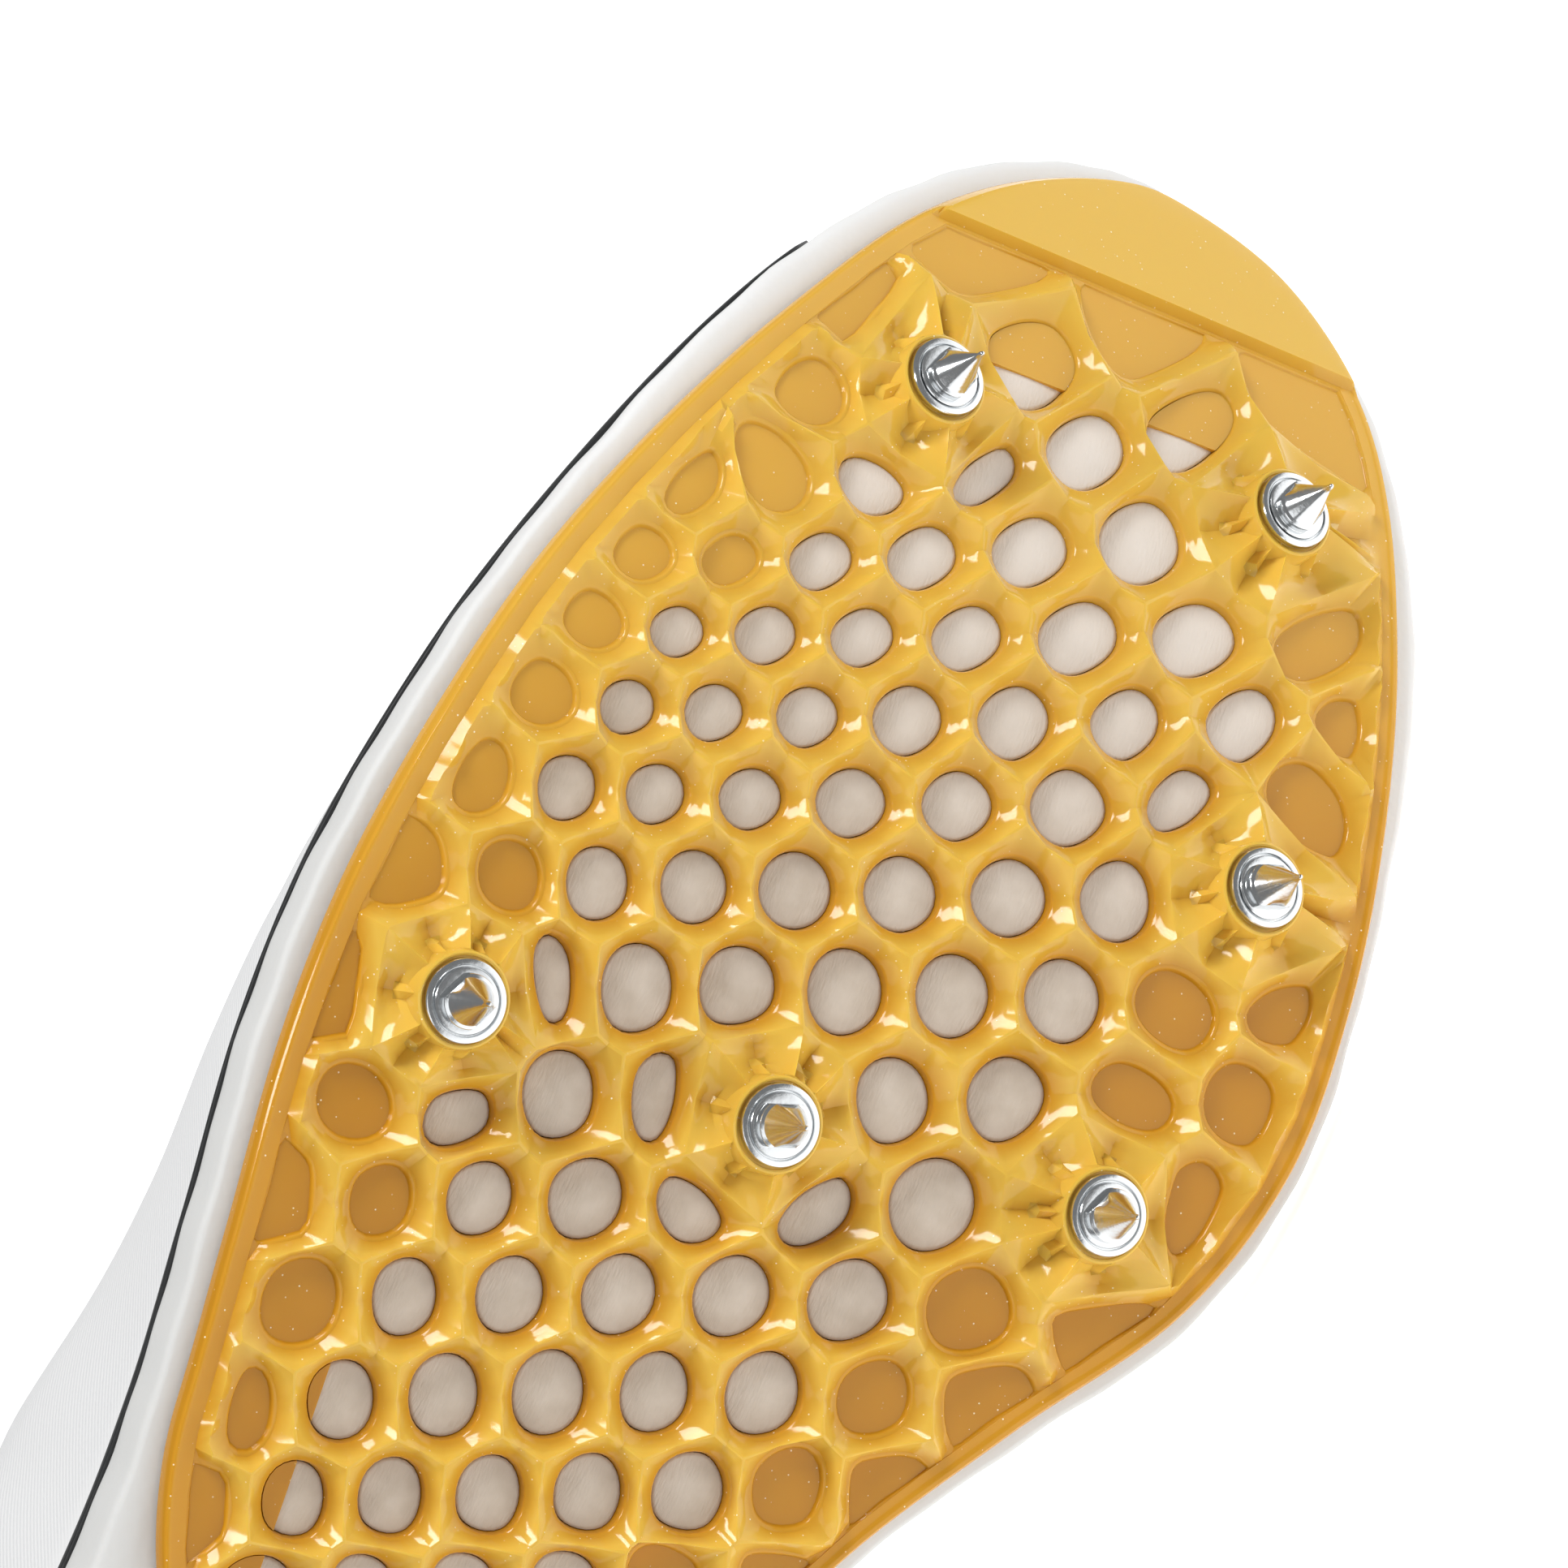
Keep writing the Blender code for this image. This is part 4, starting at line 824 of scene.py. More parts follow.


# Needled felt: cream, matt, with short slanting hairs; painted light makes it paler towards the toe.
def feltMaterial():
    material, tree, shader = newMaterial("cream felt")
    place = addNode(tree, "Attribute", attribute_name="sole").outputs["Vector"]
    lean = addNode(tree, "Mapping", {"Vector": place, "Rotation": (0, 0, 0.5), "Scale": (900, 3600, 900)})
    hairs = addNode(tree, "TexNoise", {"Vector": lean.outputs[0], "Scale": 1.0, "Detail": 3.0})
    cloud = addNode(tree, "TexNoise", {"Vector": place, "Scale": 300.0, "Detail": 3.0})
    tone = addNode(tree, "Mix", {"Factor": cloud.outputs["Fac"], "A": colour(feltBoard["dark"]),
                                 "B": colour(feltBoard["light"])}, data_type="RGBA")
    # painted light: the felt is paler towards the toe
    along = addNode(tree, "SeparateXYZ", {"Vector": place}).outputs["X"]
    paintedLight = addNode(tree, "MapRange", {"Value": along, "From Min": 0.200, "From Max": 0.245, "To Max": 0.75})
    tone = addNode(tree, "Mix", {"Factor": paintedLight.outputs["Result"], "A": tone.outputs["Result"],
                                 "B": colour(feltBoard["toe"])}, data_type="RGBA")
    bump = addNode(tree, "Bump", {"Height": hairs.outputs["Fac"], "Strength": 0.35, "Distance": 0.00025})
    setInputs(tree, shader, {"Base Color": tone.outputs["Result"], "Roughness": 0.95,
                             "Sheen Weight": 0.25, "Normal": bump.outputs["Normal"]})
    return material


# Slab between an outer and an inner side, heel to toe, with the two levels' heights.
# Each station's cross-section is a closed loop: across below, and back above.
def slabLooks(name, sideLoops, levels, columns, material, sharp=None):
    share = np.linspace(0, 1, columns)
    lowSide, highSide = sideLoops
    rows = []
    for sides, level, walk in ((lowSide, levels[0], share), (highSide, levels[1], share[::-1])):
        outer, inner = sides[0], sides[1]
        place = outer[:, None] * (1 - walk)[None, :, None] + inner[:, None] * walk[None, :, None]
        up = np.broadcast_to(level, place.shape[:2])
        rows.append(np.concatenate([place, up[..., None]], axis=-1))
    pattern = np.concatenate(rows, axis=1)
    count, around = pattern.shape[:2]
    pattern = pattern.reshape(-1, 3)
    points = solePoint(pattern[:, 0], pattern[:, 1], pattern[:, 2])
    faces = gridFaces(count, around, wrapColumns=True) + endFaces(count, around)
    return makePiece(name, points, faces, material, sharp=sharp, attributes={"sole": pattern}, weld=0.000002)


# The board behind the plate, and what of it swells into each hole.
def feltLooks(holes):
    loop = plateEdge(feltBoard["inset"] * 1000, 90) / 1000
    sides = np.array([loop[:91], np.roll(loop[::-1], 1, axis=0)[:91]])
    keep = (sides[:, :, 0] < feltBoard["front"] * shoe["soleLength"]).all(axis=0)
    sides = sides[:, keep]
    low, high = feltBoard["under"], feltBoard["under"] + feltBoard["thickness"]
    cream = feltMaterial()
    made = slabLooks("feltLooks", (sides, sides), (low, high), 30, cream, sharp=60)
    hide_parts("felt_board")
    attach(made, "root")
    # in each hole the felt swells towards the ground: swell + crown * (1 - share of the radius ^ 2)
    points, faces = [], []
    share = np.array([1.0, 1.0, 0.9, 0.75, 0.5, 0.25, 0.0])
    swell = (feltBoard["swell"] + feltBoard["crown"] * (1 - share ** 2)) * (np.arange(len(share)) > 0)
    for hole in holes:
        ring = hole[:, :2]
        middle = ring.mean(axis=0)
        flat = middle + (ring - middle) * share[:, None, None]
        depth = np.broadcast_to(swell[:, None, None], flat.shape[:2] + (1,))
        faces += gridFaces(len(share), len(ring), wrapColumns=True, first=sum(len(p) for p in points))
        points.append(np.concatenate([flat / 1000, depth - 0.00005], axis=-1).reshape(-1, 3))
    pattern = np.vstack(points)
    made = makePiece("feltSwells", solePoint(pattern[:, 0], pattern[:, 1], -pattern[:, 2]), faces, cream,
                     attributes={"sole": pattern}, weld=0.000001)
    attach(made, "root")


feltLooks(plateHoles)
print("felt done")

# Midsole foam: bulge past the plate by height share, heel underside as in the CAD part
foam = {
    "bulge": 0.0020, "toeBulge": 0.0038, "toeStart": 0.74, "toeReach": 0.16,  # share along
    "gap": 0.0004, "heelEdge": 0.0020, "bevel": 0.0030, "bevelLength": 0.022,
    # the toe tone is painted light: the foam is whiter towards the toe
    "tone": "#D9D9D7", "toePaintedLightTone": "#ECECEB",
    "rampStart": 0.002, "rampLength": 0.048,
    # height share of the wall, share of the bulge there
    "profile": [(0.0, 0.66), (0.02, 0.85), (0.06, 0.96), (0.12, 1.0), (0.25, 1.0), (0.45, 0.97), (0.70, 0.90),
                (0.88, 0.79), (0.96, 0.64), (1.0, 0.42)],
}


# Moulded EVA foam: white, soft satin, with the mould's fine pebble; painted light makes it whiter towards the
# toe.
def foamMaterial():
    material, tree, shader = newMaterial("white foam")
    place = addNode(tree, "TexCoord").outputs["Object"]
    pebble = addNode(tree, "TexVoronoi", {"Vector": place, "Scale": 1300.0}, feature="SMOOTH_F1")
    soft = addNode(tree, "TexNoise", {"Vector": place, "Scale": 500.0, "Detail": 3.0})
    height = addNode(tree, "Math", {0: pebble.outputs["Distance"], 1: soft.outputs["Fac"]}, operation="ADD")
    bump = addNode(tree, "Bump", {"Height": height.outputs[0], "Strength": 0.16, "Distance": 0.0002})
    sole = addNode(tree, "Attribute", attribute_name="sole")
    along = addNode(tree, "SeparateXYZ", {0: sole.outputs["Vector"]})
    # painted light: whiter towards the toe
    foamPaintedLight = addNode(tree, "MapRange", {"Value": along.outputs["X"], "From Min": 0.185, "From Max": 0.235})
    tone = addNode(tree, "Mix", {"Factor": foamPaintedLight.outputs["Result"], "A": colour(foam["tone"]),
                                 "B": colour(foam["toePaintedLightTone"])}, data_type="RGBA")
    setInputs(tree, shader, {"Base Color": tone.outputs["Result"], "Roughness": 0.62,
                             "Subsurface Weight": 0.15, "Subsurface Radius": (1.0, 0.9, 0.8),
                             "Subsurface Scale": 0.002, "Normal": bump.outputs["Normal"]})
    return material


# How far the wall swells past the sole's edge: more round the toe.
def foamBulge(along):
    return foam["bulge"] + (foam["toeBulge"] - foam["bulge"]) * ease(
        (along / shoe["soleLength"] - foam["toeStart"]) / foam["toeReach"])


# Underside over the sole line: on the plate in front, eased down to the floor level at the heel.
def foamUnder(along):
    level = uprightPoint(along, 0.0, 0.0)[..., 2]
    share = ease((plate["tail"] / 1000 - foam["rampStart"] - along) / foam["rampLength"])
    bevel = foam["bevel"] * ease((foam["bevelLength"] - along) / foam["bevelLength"])
    return foam["gap"] * (1 - share) + (bevel - level) * share


# Cross-sections heel to toe: flat below, a soft side that swells past the plate, flat above.
def foamLooks():
    steps = 240
    profile = foam["profile"]
    walk = np.linspace(0, 1, steps + 1)[:, None]
    # two slow waves of about 0.1 mm, because a moulded foam edge is never quite even
    uneven = 0.00010 * np.sin(95 * walk + 1.3) * np.sin(41 * walk) + 0.00007 * np.sin(230 * walk)
    swell = foamBulge(soleSides(steps)[:, :, :1]) + uneven
    loops = [soleSides(steps, swell * bulge) for share, bulge in profile]
    lowest = soleSides(steps, -foam["heelEdge"])
    levels = []
    for (share, bulge), loop in zip(profile, loops):
        heel = ease((plate["tail"] / 1000 - loop[..., 0]) / foam["rampLength"])[..., None]
        heel = heel * max(0, 1 - share / 0.25)
        loop = loop * (1 - heel) + lowest * heel
        low, high = foamUnder(loop[..., 0]), stackHeight(loop[..., 0])
        levels.append(np.concatenate([loop, (low + (high - low) * share)[..., None]], axis=-1))
    levels = np.array(levels)  # (height, side, station, 3)
    across = np.linspace(0, 1, 22)[1:-1]
    bottom = levels[0, 0][:, None] * (1 - across)[None, :, None] + levels[0, 1][:, None] * across[None, :, None]
    top = levels[-1, 1][:, None] * (1 - across)[None, :, None] + levels[-1, 0][:, None] * across[None, :, None]
    outer = levels[::-1, 0].transpose(1, 0, 2)
    inner = levels[:, 1].transpose(1, 0, 2)
    pattern = np.concatenate([bottom, inner, top, outer], axis=1)
    count, around = pattern.shape[:2]
    pattern = pattern.reshape(-1, 3)
    points = solePoint(pattern[:, 0], pattern[:, 1], pattern[:, 2])
    points[:, 2] = np.maximum(points[:, 2], 0)  # flat where it rests on the floor
    made = makePiece("foamLooks", points, gridFaces(count, around, wrapColumns=True), foamMaterial(),
                     attributes={"sole": pattern}, weld=0.000002)
    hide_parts("midsole")
    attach(made, "root")


foamLooks()
print("midsole done")


# A place round the upper by one sweep: 0 is the outer edge of the sole, 90 the crest, 180 the inner edge.
def roundUpper(along, sweep, outward=0.0):
    along, sweep, outward = np.broadcast_arrays(along, sweep, outward)
    return upperPoint(along, (sweep > 90).astype(int), 90 - np.abs(90 - sweep), outward)


# Black line along the top of the midsole's wall: share along, width up the wall in mm
blackLine = {
    "widths": [(0.0, 2.4), (0.36, 2.6), (0.45, 2.3), (0.56, 1.5), (0.74, 1.5), (0.80, 2.0), (0.85, 2.9),
               (0.88, 3.0), (0.898, 2.2), (0.908, 0.3)],
    # share along, mm below the wall's top
    "drops": [(0.0, 0.0), (0.60, 0.0), (0.76, 2.1), (0.85, 3.0), (0.91, 4.0)],
    "innerWidth": 1.3,  # mm, from the ball forward on the inner side, where it stays at the top
    "proud": 0.00040, "overlap": 0.00015, "end": 0.907,
    "dark": "#101112", "light": "#242628",
}


# Printed rubber line: black and satin, a flat oval wrapped on the wall below the joint.
def blackLineLooks():
    material, tree, shader = newMaterial("black rubber print")
    place = addNode(tree, "TexCoord").outputs["Object"]
    grain = addNode(tree, "TexNoise", {"Vector": place, "Scale": 1800.0, "Detail": 2.0})
    tone = addNode(tree, "Mix", {"Factor": grain.outputs["Fac"], "A": colour(blackLine["dark"]),
                                 "B": colour(blackLine["light"])}, data_type="RGBA")
    bump = addNode(tree, "Bump", {"Height": grain.outputs["Fac"], "Strength": 0.2, "Distance": 0.0001})
    setInputs(tree, shader, {"Base Color": tone.outputs["Result"], "Roughness": 0.5,
                             "Normal": bump.outputs["Normal"]})
    flat = soleSides(420)
    proud = soleSides(420, 0.001)
    keep = flat[0, :, 0] < blackLine["end"] * shoe["soleLength"]
    route = aroundHeel(*flat[:, keep])[:, None]
    outwards = (aroundHeel(*proud[:, keep])[:, None] - route) * 1000
    share = route[..., 0] / shoe["soleLength"]
    inner = (np.arange(len(route)) >= keep.sum())[:, None]
    width = np.interp(share, *np.array(blackLine["widths"]).T)
    width = np.where(inner & (share > 0.6), np.minimum(width, blackLine["innerWidth"]), width) / 1000
    drop = np.where(inner, 0, np.interp(share, *np.array(blackLine["drops"]).T)) / 1000
    turn = np.linspace(0, 2 * np.pi, 32, endpoint=False)[None]
    high = stackHeight(route[..., 0])
    low = foamUnder(route[..., 0])
    up = high - drop - width / 2 * (1 - np.cos(turn)) + blackLine["overlap"]
    wall = np.interp((up - low) / (high - low), *np.array(foam["profile"]).T) * foamBulge(route[..., 0])
    # the section is an oval with flat sides: sign(sin) * |sin|^0.4
    flatOval = np.sign(np.sin(turn)) * np.abs(np.sin(turn)) ** 0.4
    place = route + outwards * (wall + blackLine["proud"] * flatOval)[..., None]
    points = solePoint(place[..., 0], place[..., 1], up)
    points[..., 2] = np.maximum(points[..., 2], 0)  # flat where it rests on the floor
    count = turn.size
    faces = gridFaces(len(route), count, wrapColumns=True) + endFaces(len(route), count)
    made = makePiece("blackLineLooks", points.reshape(-1, 3), faces, material)
    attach(made, "root")


blackLineLooks()
print("black line done")

# Upper shell and its folds: share along, sweep, reach in degrees, width mm, height mm, slant mm per degree
vamp = {
    "folds": [
        (0.745, 92, 30, 2.6, -0.9, 0.05), (0.712, 94, 34, 3.0, -1.1, -0.04), (0.728, 92, 28, 2.4, 0.7, 0.02),
        (0.775, 98, 34, 2.4, -0.5, 0.07), (0.640, 42, 20, 3.0, -0.7, 0.16), (0.660, 140, 18, 3.0, -0.7, -0.18),
        (0.400, 34, 20, 4.0, -0.8, -0.20), (0.370, 142, 22, 4.0, -0.8, 0.22), (0.255, 36, 20, 4.5, -0.9, 0.15),
        (0.380, 26, 34, 26.0, 4.8, 0.0),  # the broad swell over the outer midfoot
        (0.215, 146, 20, 4.5, -0.9, -0.15), (0.120, 30, 18, 4.0, 0.5, 0.10), (0.520, 150, 22, 4.5, -0.6, 0.10),
    ],
    "ribSpacing": 0.55, "ribTurn": 0.62,  # mm, radians
    "smoothMargin": 4.5, "marginFade": 3.0,  # mm above the sole without ribs, and to full ribs
    "tone": "#ECECEC", "ribTone": "#DEDFE0",
    "joined": 0.668,  # share along from which the halves meet on the crest
}


# Outward shift: each fold is height * e^-(place across it / width)^2 * e^-(place along it / reach)^2.
def foldHeight(along, sweep):
    shift = np.zeros(np.broadcast(along, sweep).shape)
    for share, middle, reach, width, height, slant in vamp["folds"]:
        place = (along - share * shoe["soleLength"]) * 1000 - slant * (sweep - middle)
        shift = shift + height / 1000 * np.exp(-(place / width) ** 2 - ((sweep - middle) / reach) ** 2)
    return shift * np.clip(np.sin(np.radians(sweep)) * 2.5, 0, 1)


# Engineered polyester mesh: white and matt, with fine slanting ribs above a smooth fused margin.
def upperMaterial():
    material, tree, shader = newMaterial("white engineered mesh")
    place = addNode(tree, "Attribute", attribute_name="cloth").outputs["Vector"]
    lean = addNode(tree, "Mapping", {"Vector": place, "Rotation": (0, 0, vamp["ribTurn"])})
    ribs = addNode(tree, "TexWave", {"Vector": lean.outputs[0], "Scale": 314.0 / vamp["ribSpacing"],
                                     "Distortion": 0.5, "Detail": 1.0, "Detail Scale": 2.0}, wave_type="BANDS")
    knit = addNode(tree, "TexVoronoi", {"Vector": place, "Scale": 1700.0})
    girth = addNode(tree, "SeparateXYZ", {0: place})  # along, from the crest, up from the sole
    ribbed = addNode(tree, "MapRange", {"Value": girth.outputs["Z"], "From Min": vamp["smoothMargin"] / 1000,
                                        "From Max": (vamp["smoothMargin"] + vamp["marginFade"]) / 1000})
    relief = addNode(tree, "Math", {0: ribs.outputs["Fac"], 1: ribbed.outputs["Result"]}, operation="MULTIPLY")
    height = addNode(tree, "Math", {0: relief.outputs[0], 1: knit.outputs["Distance"]}, operation="ADD")
    bump = addNode(tree, "Bump", {"Height": height.outputs[0], "Strength": 0.16, "Distance": 0.0002})
    tone = addNode(tree, "Mix", {"Factor": relief.outputs[0], "A": colour(vamp["tone"]),
                                 "B": colour(vamp["ribTone"])}, data_type="RGBA")
    setInputs(tree, shader, {"Base Color": tone.outputs["Result"], "Roughness": 0.8,
                             "Sheen Weight": 0.1, "Normal": bump.outputs["Normal"]})
    return material


# Woven or knit cloth between two tones, its bump from cells of a size in mm.
def clothMaterial(name, dark, light, size, strength=0.3, rough=0.85):
    material, tree, shader = newMaterial(name)
    place = addNode(tree, "TexCoord").outputs["Object"]
    knit = addNode(tree, "TexVoronoi", {"Vector": place, "Scale": 1000.0 / size})
    cloud = addNode(tree, "TexNoise", {"Vector": place, "Scale": 220.0, "Detail": 3.0})
    blend = addNode(tree, "Math", {0: knit.outputs["Distance"], 1: cloud.outputs["Fac"]}, operation="MULTIPLY")
    tone = addNode(tree, "Mix", {"Factor": blend.outputs[0], "A": colour(dark), "B": colour(light)},
                   data_type="RGBA")
    bump = addNode(tree, "Bump", {"Height": knit.outputs["Distance"], "Strength": strength, "Distance": 0.0003})
    setInputs(tree, shader, {"Base Color": tone.outputs["Result"], "Roughness": rough, "Sheen Weight": 0.15,
                             "Normal": bump.outputs["Normal"]})
    return material


# Two half shells, heel to toe, that meet over the toe; a modifier gives them their wall.
def upperLooks():
    steps, columns = 300, 56
    walk, middle, wrap = upperStations(steps)
    points, faces, cloth = [], [], []
    wrap = np.where(walk[0, :, 0] / shoe["soleLength"] > vamp["joined"], 90.0, np.minimum(wrap, 90.0))
    for side in (0, 1):
        along = walk[side, :, :1]
        angle = wrap[:, None] * np.linspace(0, 1, columns + 1)
        sweep = angle if side == 0 else 180 - angle
        grid = upperSection(along, walk[side, :, 1:], middle[:, None], angle, foldHeight(along, sweep))
        faces += gridFaces(steps + 1, columns + 1, first=side * (steps + 1) * (columns + 1))
        points.append(grid.reshape(-1, 3))
        girth = np.linalg.norm(np.diff(grid, axis=1, prepend=grid[:, :1]), axis=-1).cumsum(axis=1)
        crest = (girth[:, -1:] - girth) * (1 if side else -1)
        cloth.append(np.stack([along + 0 * angle, crest, girth], -1).reshape(-1, 3))
    made = makePiece("upperLooks", np.vstack(points), faces, upperMaterial(),
                     attributes={"cloth": np.vstack(cloth)}, weld=0.00002)
    made.data.materials.append(clothMaterial("grey lining knit", "#BFC1C3", "#D6D8DA", 0.9))
    wall = made.modifiers.new("wall", "SOLIDIFY")
    wall.thickness = shoe["wall"]
    wall.offset = -1
    wall.material_offset = 1
    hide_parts("upper")
    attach(made, "root")


upperLooks()
print("upper done")


# Pad over the upper: a grid of along and sweep. Its thickness goes by the root of
# (1 - u ^ power) * (1 - v ^ power), with u and v from -1 to 1 over the grid.
def padPiece(name, along, sweep, base, thickness, material, power=6):
    rows, columns = along.shape
    u = np.abs(np.linspace(-1, 1, rows))[:, None]
    v = np.abs(np.linspace(-1, 1, columns))[None]
    full = (1 - u ** power) * (1 - v ** power)
    swell = np.sqrt(np.clip(full, 0, 1)) * thickness
    middle = base + thickness / 2
    outer = roundUpper(along, sweep, middle + swell / 2)
    inner = roundUpper(along, sweep, middle - swell / 2)
    points = np.concatenate([outer.reshape(-1, 3), inner.reshape(-1, 3)])
    faces = gridFaces(rows, columns)
    faces += [f[::-1] for f in gridFaces(rows, columns, first=rows * columns)]
    return makePiece(name, points, faces, material, weld=0.00002)


# Tongue: padded knit with two long channels, its top edge standing over the collar
tongue = {"start": 0.345, "end": 0.700, "wrap": 52, "under": 0.0028, "thickness": 0.0026, "channel": 0.0005}


def tongueLooks():
    along, sweep = np.meshgrid(np.linspace(tongue["start"], tongue["end"], 90) * shoe["soleLength"],
                               np.linspace(tongue["wrap"], 180 - tongue["wrap"], 64), indexing="ij")
    # the top corners are round: the sweep narrows by a quarter circle over the first 14 mm
    near = np.clip(1 - (along - along.min()) / 0.014, 0, 1)
    sweep = 90 + (sweep - 90) * (0.55 + 0.45 * np.sqrt(1 - near ** 2))
    groove = np.exp(-((np.abs(sweep - 90) - 14) / 1.6) ** 2) * tongue["channel"]
    thickness = tongue["thickness"] - groove + 0 * along
    made = padPiece("tongueLooks", along, sweep, -tongue["under"] - tongue["thickness"], thickness,
                    clothMaterial("white spacer knit", "#D9DADB", "#F0F0F0", 1.3, 0.5), power=8)
    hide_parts("tongue")
    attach(made, "root")


tongueLooks()

# Collar: a padded roll on the opening's edge, thickest at the ankle
collar = {"front": 0.44, "radius": 0.0024, "thin": 0.0011, "inward": 0.0012}


def collarLooks():
    walk, middle, wrap = upperStations(300)
    wrap = np.minimum(wrap, 90.0)
    keep = walk[0, :, 0] < collar["front"] * shoe["soleLength"]
    route = aroundHeel(*walk[:, keep])
    centre = aroundHeel(middle[keep], middle[keep])
    edge = aroundHeel(wrap[keep], wrap[keep])
    fromFront = collar["front"] - route[:, :1] / shoe["soleLength"]
    radius = collar["thin"] + (collar["radius"] - collar["thin"]) * ease(fromFront / 0.12)
    path = upperSection(route[:, 0], route[:, 1], centre, edge, -collar["inward"])
    lower = upperSection(route[:, 0], route[:, 1], centre, edge - 3, -collar["inward"])
    deeper = upperSection(route[:, 0], route[:, 1], centre, edge, -collar["inward"] - 0.002)
    down = lower - path
    down /= np.linalg.norm(down, axis=1)[:, None]
    inwards = deeper - path
    inwards -= down * (inwards * down).sum(axis=1)[:, None]
    inwards /= np.maximum(np.linalg.norm(inwards, axis=1), 1e-9)[:, None]
    turn = np.linspace(0, 2 * np.pi, 20, endpoint=False)
    crosswise = inwards[:, None] * np.cos(turn)[:, None] + 1.5 * down[:, None] * np.sin(turn)[:, None]
    points = (path + down * radius * 0.9)[:, None] + crosswise * radius[..., None]
    count = len(turn)
    faces = gridFaces(len(path), count, wrapColumns=True) + endFaces(len(path), count)
    made = makePiece("collarLooks", points.reshape(-1, 3), faces,
                     clothMaterial("soft collar knit", "#D4D5D6", "#EEEEEE", 0.8, 0.35))
    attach(made, "root")


collarLooks()
print("tongue and collar done")

# Lace rows, and the eyestay that carries their eyelets on each side of the throat
lacing = {
    "start": 0.440, "end": 0.648, "rows": 6, "sweep": 62, "width": 0.0055, "thickness": 0.0012, "lift": 0.0008,
    "dip": 0.0022,  # into the eyelets at a run's ends
    "stayStart": 0.425, "stayEnd": 0.672, "stayWidth": 15, "stayThickness": 0.0009, "eyelet": 0.0023,
    "perDegree": 0.00075,  # metres round the upper for a degree of sweep, near enough
}
laceRows = np.linspace(lacing["start"], lacing["end"], lacing["rows"]) * shoe["soleLength"]


# One flat run of lace: lens section; it dips into its eyelets and one of two rides over at the crossing.
def laceRun(first, last, over):
    share = np.linspace(0, 1, 44)[:, None]
    turn = np.linspace(0, 2 * np.pi, 16, endpoint=False)[None]
    reach = (90 - lacing["sweep"]) * 2
    sweep = lacing["sweep"] + reach * share
    along = first + (last - first) * share
    ends = np.exp(-(share / 0.035) ** 2) + np.exp(-((1 - share) / 0.035) ** 2)
    lift = lacing["lift"] + lacing["thickness"] / 2 + over * np.exp(-((share - 0.5) / 0.11) ** 2)
    lift = lift - lacing["dip"] * ends
    narrow = 1 - 0.45 * ends
    wide = np.sign(np.cos(turn)) * np.abs(np.cos(turn)) ** 0.7 * lacing["width"] / 2 * narrow
    thick = np.sign(np.sin(turn)) * np.abs(np.sin(turn)) ** 0.8 * lacing["thickness"] / 2
    # the width stands square to the run on the surface
    slope = (last - first) / (reach * lacing["perDegree"])
    square = 1 / math.hypot(1, slope)
    return roundUpper(along + wide * square, sweep - wide * slope * square / lacing["perDegree"], lift + thick)


# Woven flat lace: white and matt, with the fine grain of its crossing yarns.
def laceLooks():
    runs = [laceRun(laceRows[-1], laceRows[-1], 0.0)]
    for back, front in zip(laceRows[:-1], laceRows[1:]):
        runs.append(laceRun(back, front, 0.0))
        runs.append(laceRun(front, back, lacing["thickness"]))
    points, faces = [], []
    for run in runs:
        first = sum(len(p) for p in points)
        count, around = run.shape[:2]
        points.append(run.reshape(-1, 3))
        faces += gridFaces(count, around, wrapColumns=True, first=first) + endFaces(count, around, first)
    made = makePiece("laceLooks", np.vstack(points), faces,
                     clothMaterial("white woven lace", "#DADBDC", "#F6F6F6", 0.55, 0.6))
    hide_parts("lace_crossings")
    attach(made, "root")


laceLooks()


# Fused film stay beside the throat, and rings of the same film round its eyelets.
def eyestayLooks():
    film = clothMaterial("white fused film", "#E4E5E6", "#F0F0F1", 2.2, 0.08, 0.45)
    for name, side in (("eyestayOuter", 0), ("eyestayInner", 1)):
        share = np.linspace(lacing["stayStart"], lacing["stayEnd"], 80)[:, None] + np.zeros((1, 12))
        edge = np.minimum(sectionValue(share * shoe["soleLength"], 2), 88.0)
        sweep = edge - 0.6 - lacing["stayWidth"] * np.linspace(0, 1, 12)[None]
        sweep = sweep if side == 0 else 180 - sweep
        made = padPiece(name, share * shoe["soleLength"], sweep, -0.0002, lacing["stayThickness"], film,
                        power=10)
        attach(made, "root")
    turn = np.linspace(0, 2 * np.pi, 28, endpoint=False)[None]
    tube = np.linspace(0, 2 * np.pi, 10, endpoint=False)[:, None]
    points, faces = [], []
    for row in laceRows:
        for middle in (lacing["sweep"] - 1, 181 - lacing["sweep"]):
            radius = lacing["eyelet"] + 0.0005 * np.cos(tube)
            along = row + radius * np.cos(turn)
            sweep = middle + radius * np.sin(turn) / lacing["perDegree"]
            faces += gridFaces(tube.size, turn.size, wrapRows=True, wrapColumns=True,
                               first=sum(len(p) for p in points))
            points.append(roundUpper(along, sweep, 0.0008 + 0.0004 * np.sin(tube) + 0 * turn).reshape(-1, 3))
    made = makePiece("eyeletRings", np.vstack(points), faces,
                     clothMaterial("eyelet film", "#C9CACB", "#E2E2E3", 1.5, 0.1, 0.4))
    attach(made, "root")


eyestayLooks()
print("laces and eyestays done")

# Insole: thin foam under a knit top, raised a little along its edge
insole = {"inset": 0.0026, "under": 0.0004, "thickness": 0.0028, "cup": 0.0010}


